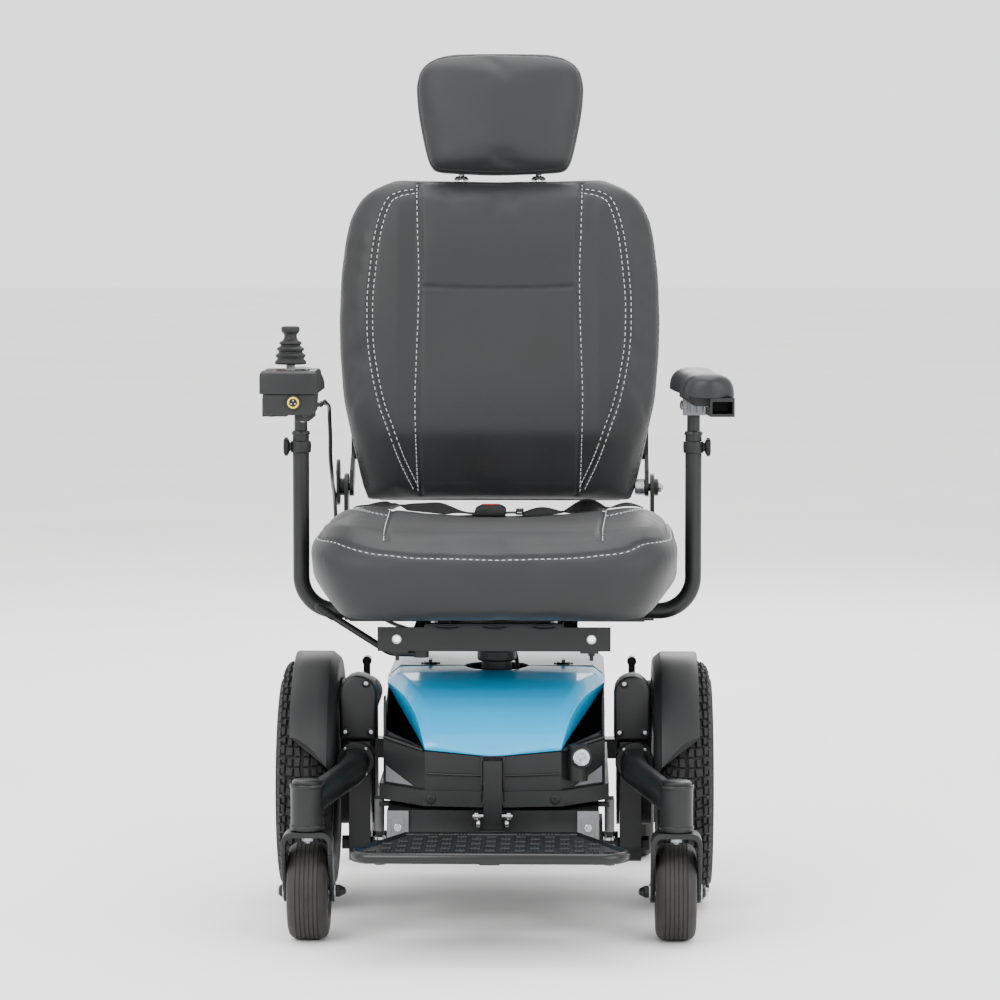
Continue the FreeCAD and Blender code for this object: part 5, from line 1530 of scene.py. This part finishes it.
def seatFittings():
    places = seatFittingPlaces
    work = bmesh.new()
    hingeY, hingeZ = places["hinge"]
    # moulded cover outside the right hinge
    shell = [(hingeY + 24 * math.cos(math.radians(t)) * (1 if t < 180 else 0.9),
              hingeZ + 18 + 24 * math.sin(math.radians(t))) for t in range(-20, 201, 20)]
    shell += [(hingeY - 20, hingeZ - 22), (hingeY - 8, hingeZ - 27), (hingeY + 12, hingeZ - 27),
              (hingeY + 22, hingeZ - 20)]
    addPrism(work, shell, "x", -243.6, -238.8, 1.8, 0, 3)
    addScrew(work, (-243.4, hingeY, hingeZ + 20), (-1, 0, 0), 4.2, 2.2, 1)
    addScrew(work, (-243.4, hingeY, hingeZ - 14), (-1, 0, 0), 4.2, 2.2, 1)
    # screws and nuts under the seat bar, rolled lips on the pan's front edge
    for side in (-1, 1):
        hole = side * places["barHole"]
        addNut(work, (hole, -156, 382.8), (0, 0, -1), 5.4, 4.4, 2)
        addTube(work, [(hole, -156, 379), (hole, -156, 371.5)], 2.8, 12, 2)
        addNut(work, (side * places["plateNut"], -158, 424.2), (0, 0, 1), 5.6, 4.6, 1)
        addTurned(work, [(5.05, 0), (6.6, 0), (6.6, 0.8), (5.05, 0.8)], (hole, -170, 403), (0, -1, 0), 28,
                  1)
    for x in (-66, 0, 70):
        oval = [(x + 17 * math.cos(t), -173.4, 421.4 + 3.0 * math.sin(t))
                for t in (2 * math.pi * k / 24 for k in range(24))]
        addTube(work, oval, 1.3, 8, 2, loop=True)
    addTube(work, [(-97, -172.4, 424.2), (97, -172.4, 424.2)], 2.2, 12, 2)
    # swivel plate bolts round the post
    for k in range(places["bolts"]):
        turn = math.radians(30 + 60 * k)
        circle = places["boltCircle"]
        addNut(work, (circle * math.cos(turn), places["postY"] + circle * math.sin(turn), 383.8),
               (0, 0, -1), 5, 4, 1)
    addTurned(work, [(22.4, 352), (27, 352), (28.4, 354), (28.4, 366), (27, 368), (22.4, 368)],
              (0, 20, 0), (0, 0, 1), 40, 2)
    finishPiece(work, "seat_fittings", "seat", [mouldedAbs, zincPlate, powderCoatedSteel])
    work.free()
    # bright spacer of the left hinge
    work = bmesh.new()
    addTurned(work, [(6.05, 203), (11.6, 203), (12.6, 204.2), (12.6, 216.6), (11.6, 217.8),
                     (6.05, 217.8)], (0, hingeY, hingeZ),
              (1, 0, 0), 32, 0)
    for side in (-1, 1):
        addNut(work, (side * 238, hingeY, hingeZ), (side, 0, 0), 8.4, 0.7 if side < 0 else 5, 0)
    finishPiece(work, "hinge_spacer", "back", [zincPlate])
    work.free()
    # rubber grip on the swivel lever's end
    work = bmesh.new()
    end, way = Vector((-249, -134, 444)), Vector((-101, -6, 64)).normalized()
    addTube(work, [end - way * 26, end - way * 24, end - way * 2, end + way * 3, end + way * 5.2],
            [5.4, 6.2, 6.2, 5.0, 2.2], 18, 0)
    finishPiece(work, "lever_grip", "swivel_lever", [mouldedSilicone])
    work.free()


seatFittings()


rearPanel = dict(low=40, pitch=6, rows=64, inset=26, front=36.6, rear=40.4, screwX=120, screwZ=(80, 380))


def backShellTrim():
    panel = rearPanel
    # padded rear panel with a pocket seam, held by buttons
    work = bmesh.new()
    ring = []
    for z in [panel["low"] + panel["pitch"] * k for k in range(panel["rows"])]:
        ring.append((between(backrest["halfWidths"], z) - panel["inset"], z))
    outline = ring + [(-x, z) for x, z in reversed(ring)]
    addPrism(work, outline, "y", panel["front"], panel["rear"], 1.6, 0, 3)
    lip = [(x * 0.97, 38.9, panel["low"] + (z - panel["low"]) * 0.985 + 3) for x, z in outline[::3]]
    addTube(work, lip, 1.6, 8, 1, loop=True)
    for x in (-panel["screwX"], panel["screwX"]):
        for z in panel["screwZ"]:
            addScrew(work, (x, 40.2, z), (0, 1, 0), 6, 3, 2)
    work.transform(leanBack)
    finishPiece(work, "rear_panel", "back", [embossedVinyl, mouldedSilicone, mouldedAbs])
    work.free()


backShellTrim()
print("fittings ready")


# Floor and light
studio = dict(floorRadius=40, world=1.9,
              lights=[("key", (-2.6, -3.8, 3.4), 2.6, 170), ("fill", (3.2, -3.4, 2.2), 2.4, 100),
                      ("top", (0, 0.4, 4.2), 3.0, 120), ("rear", (0.6, 4.0, 2.8), 2.4, 90)])
# Painted plywood floor, sprayed matt white
mattPaint = newFinish("mattPaint", "#f2f2f1", "#f7f7f6", 900, (0.85, 0.9), 6, 0.01)
disc = bmesh.new()
addTurned(disc, [(0, 0), (2 / mm, 0), (studio["floorRadius"] / mm, 0)], (0, 0, 0), (0, 0, 1), 96)
disc.transform(Matrix.Scale(mm, 4))
floorMesh = bpy.data.meshes.new("floor")
disc.to_mesh(floorMesh)
disc.free()
floorMesh.materials.append(mattPaint)
floor = bpy.data.objects.new("floor", floorMesh)
bpy.context.scene.collection.objects.link(floor)
for name, place, size, watts in studio["lights"]:
    lamp = bpy.data.objects.new(name, bpy.data.lights.new(name, "AREA"))
    lamp.data.size = size
    lamp.data.energy = watts
    lamp.location = place
    lamp.rotation_euler = (Vector((0, 0, 0.6)) - Vector(place)).to_track_quat("-Z", "Y").to_euler()
    bpy.context.scene.collection.objects.link(lamp)
world = bpy.data.worlds.new("studio")
world.use_nodes = True
sky = world.node_tree.nodes["Background"]
sky.inputs["Color"].default_value = (1, 1, 1, 1)
sky.inputs["Strength"].default_value = studio["world"]
bpy.context.scene.world = world

print("scene ready")
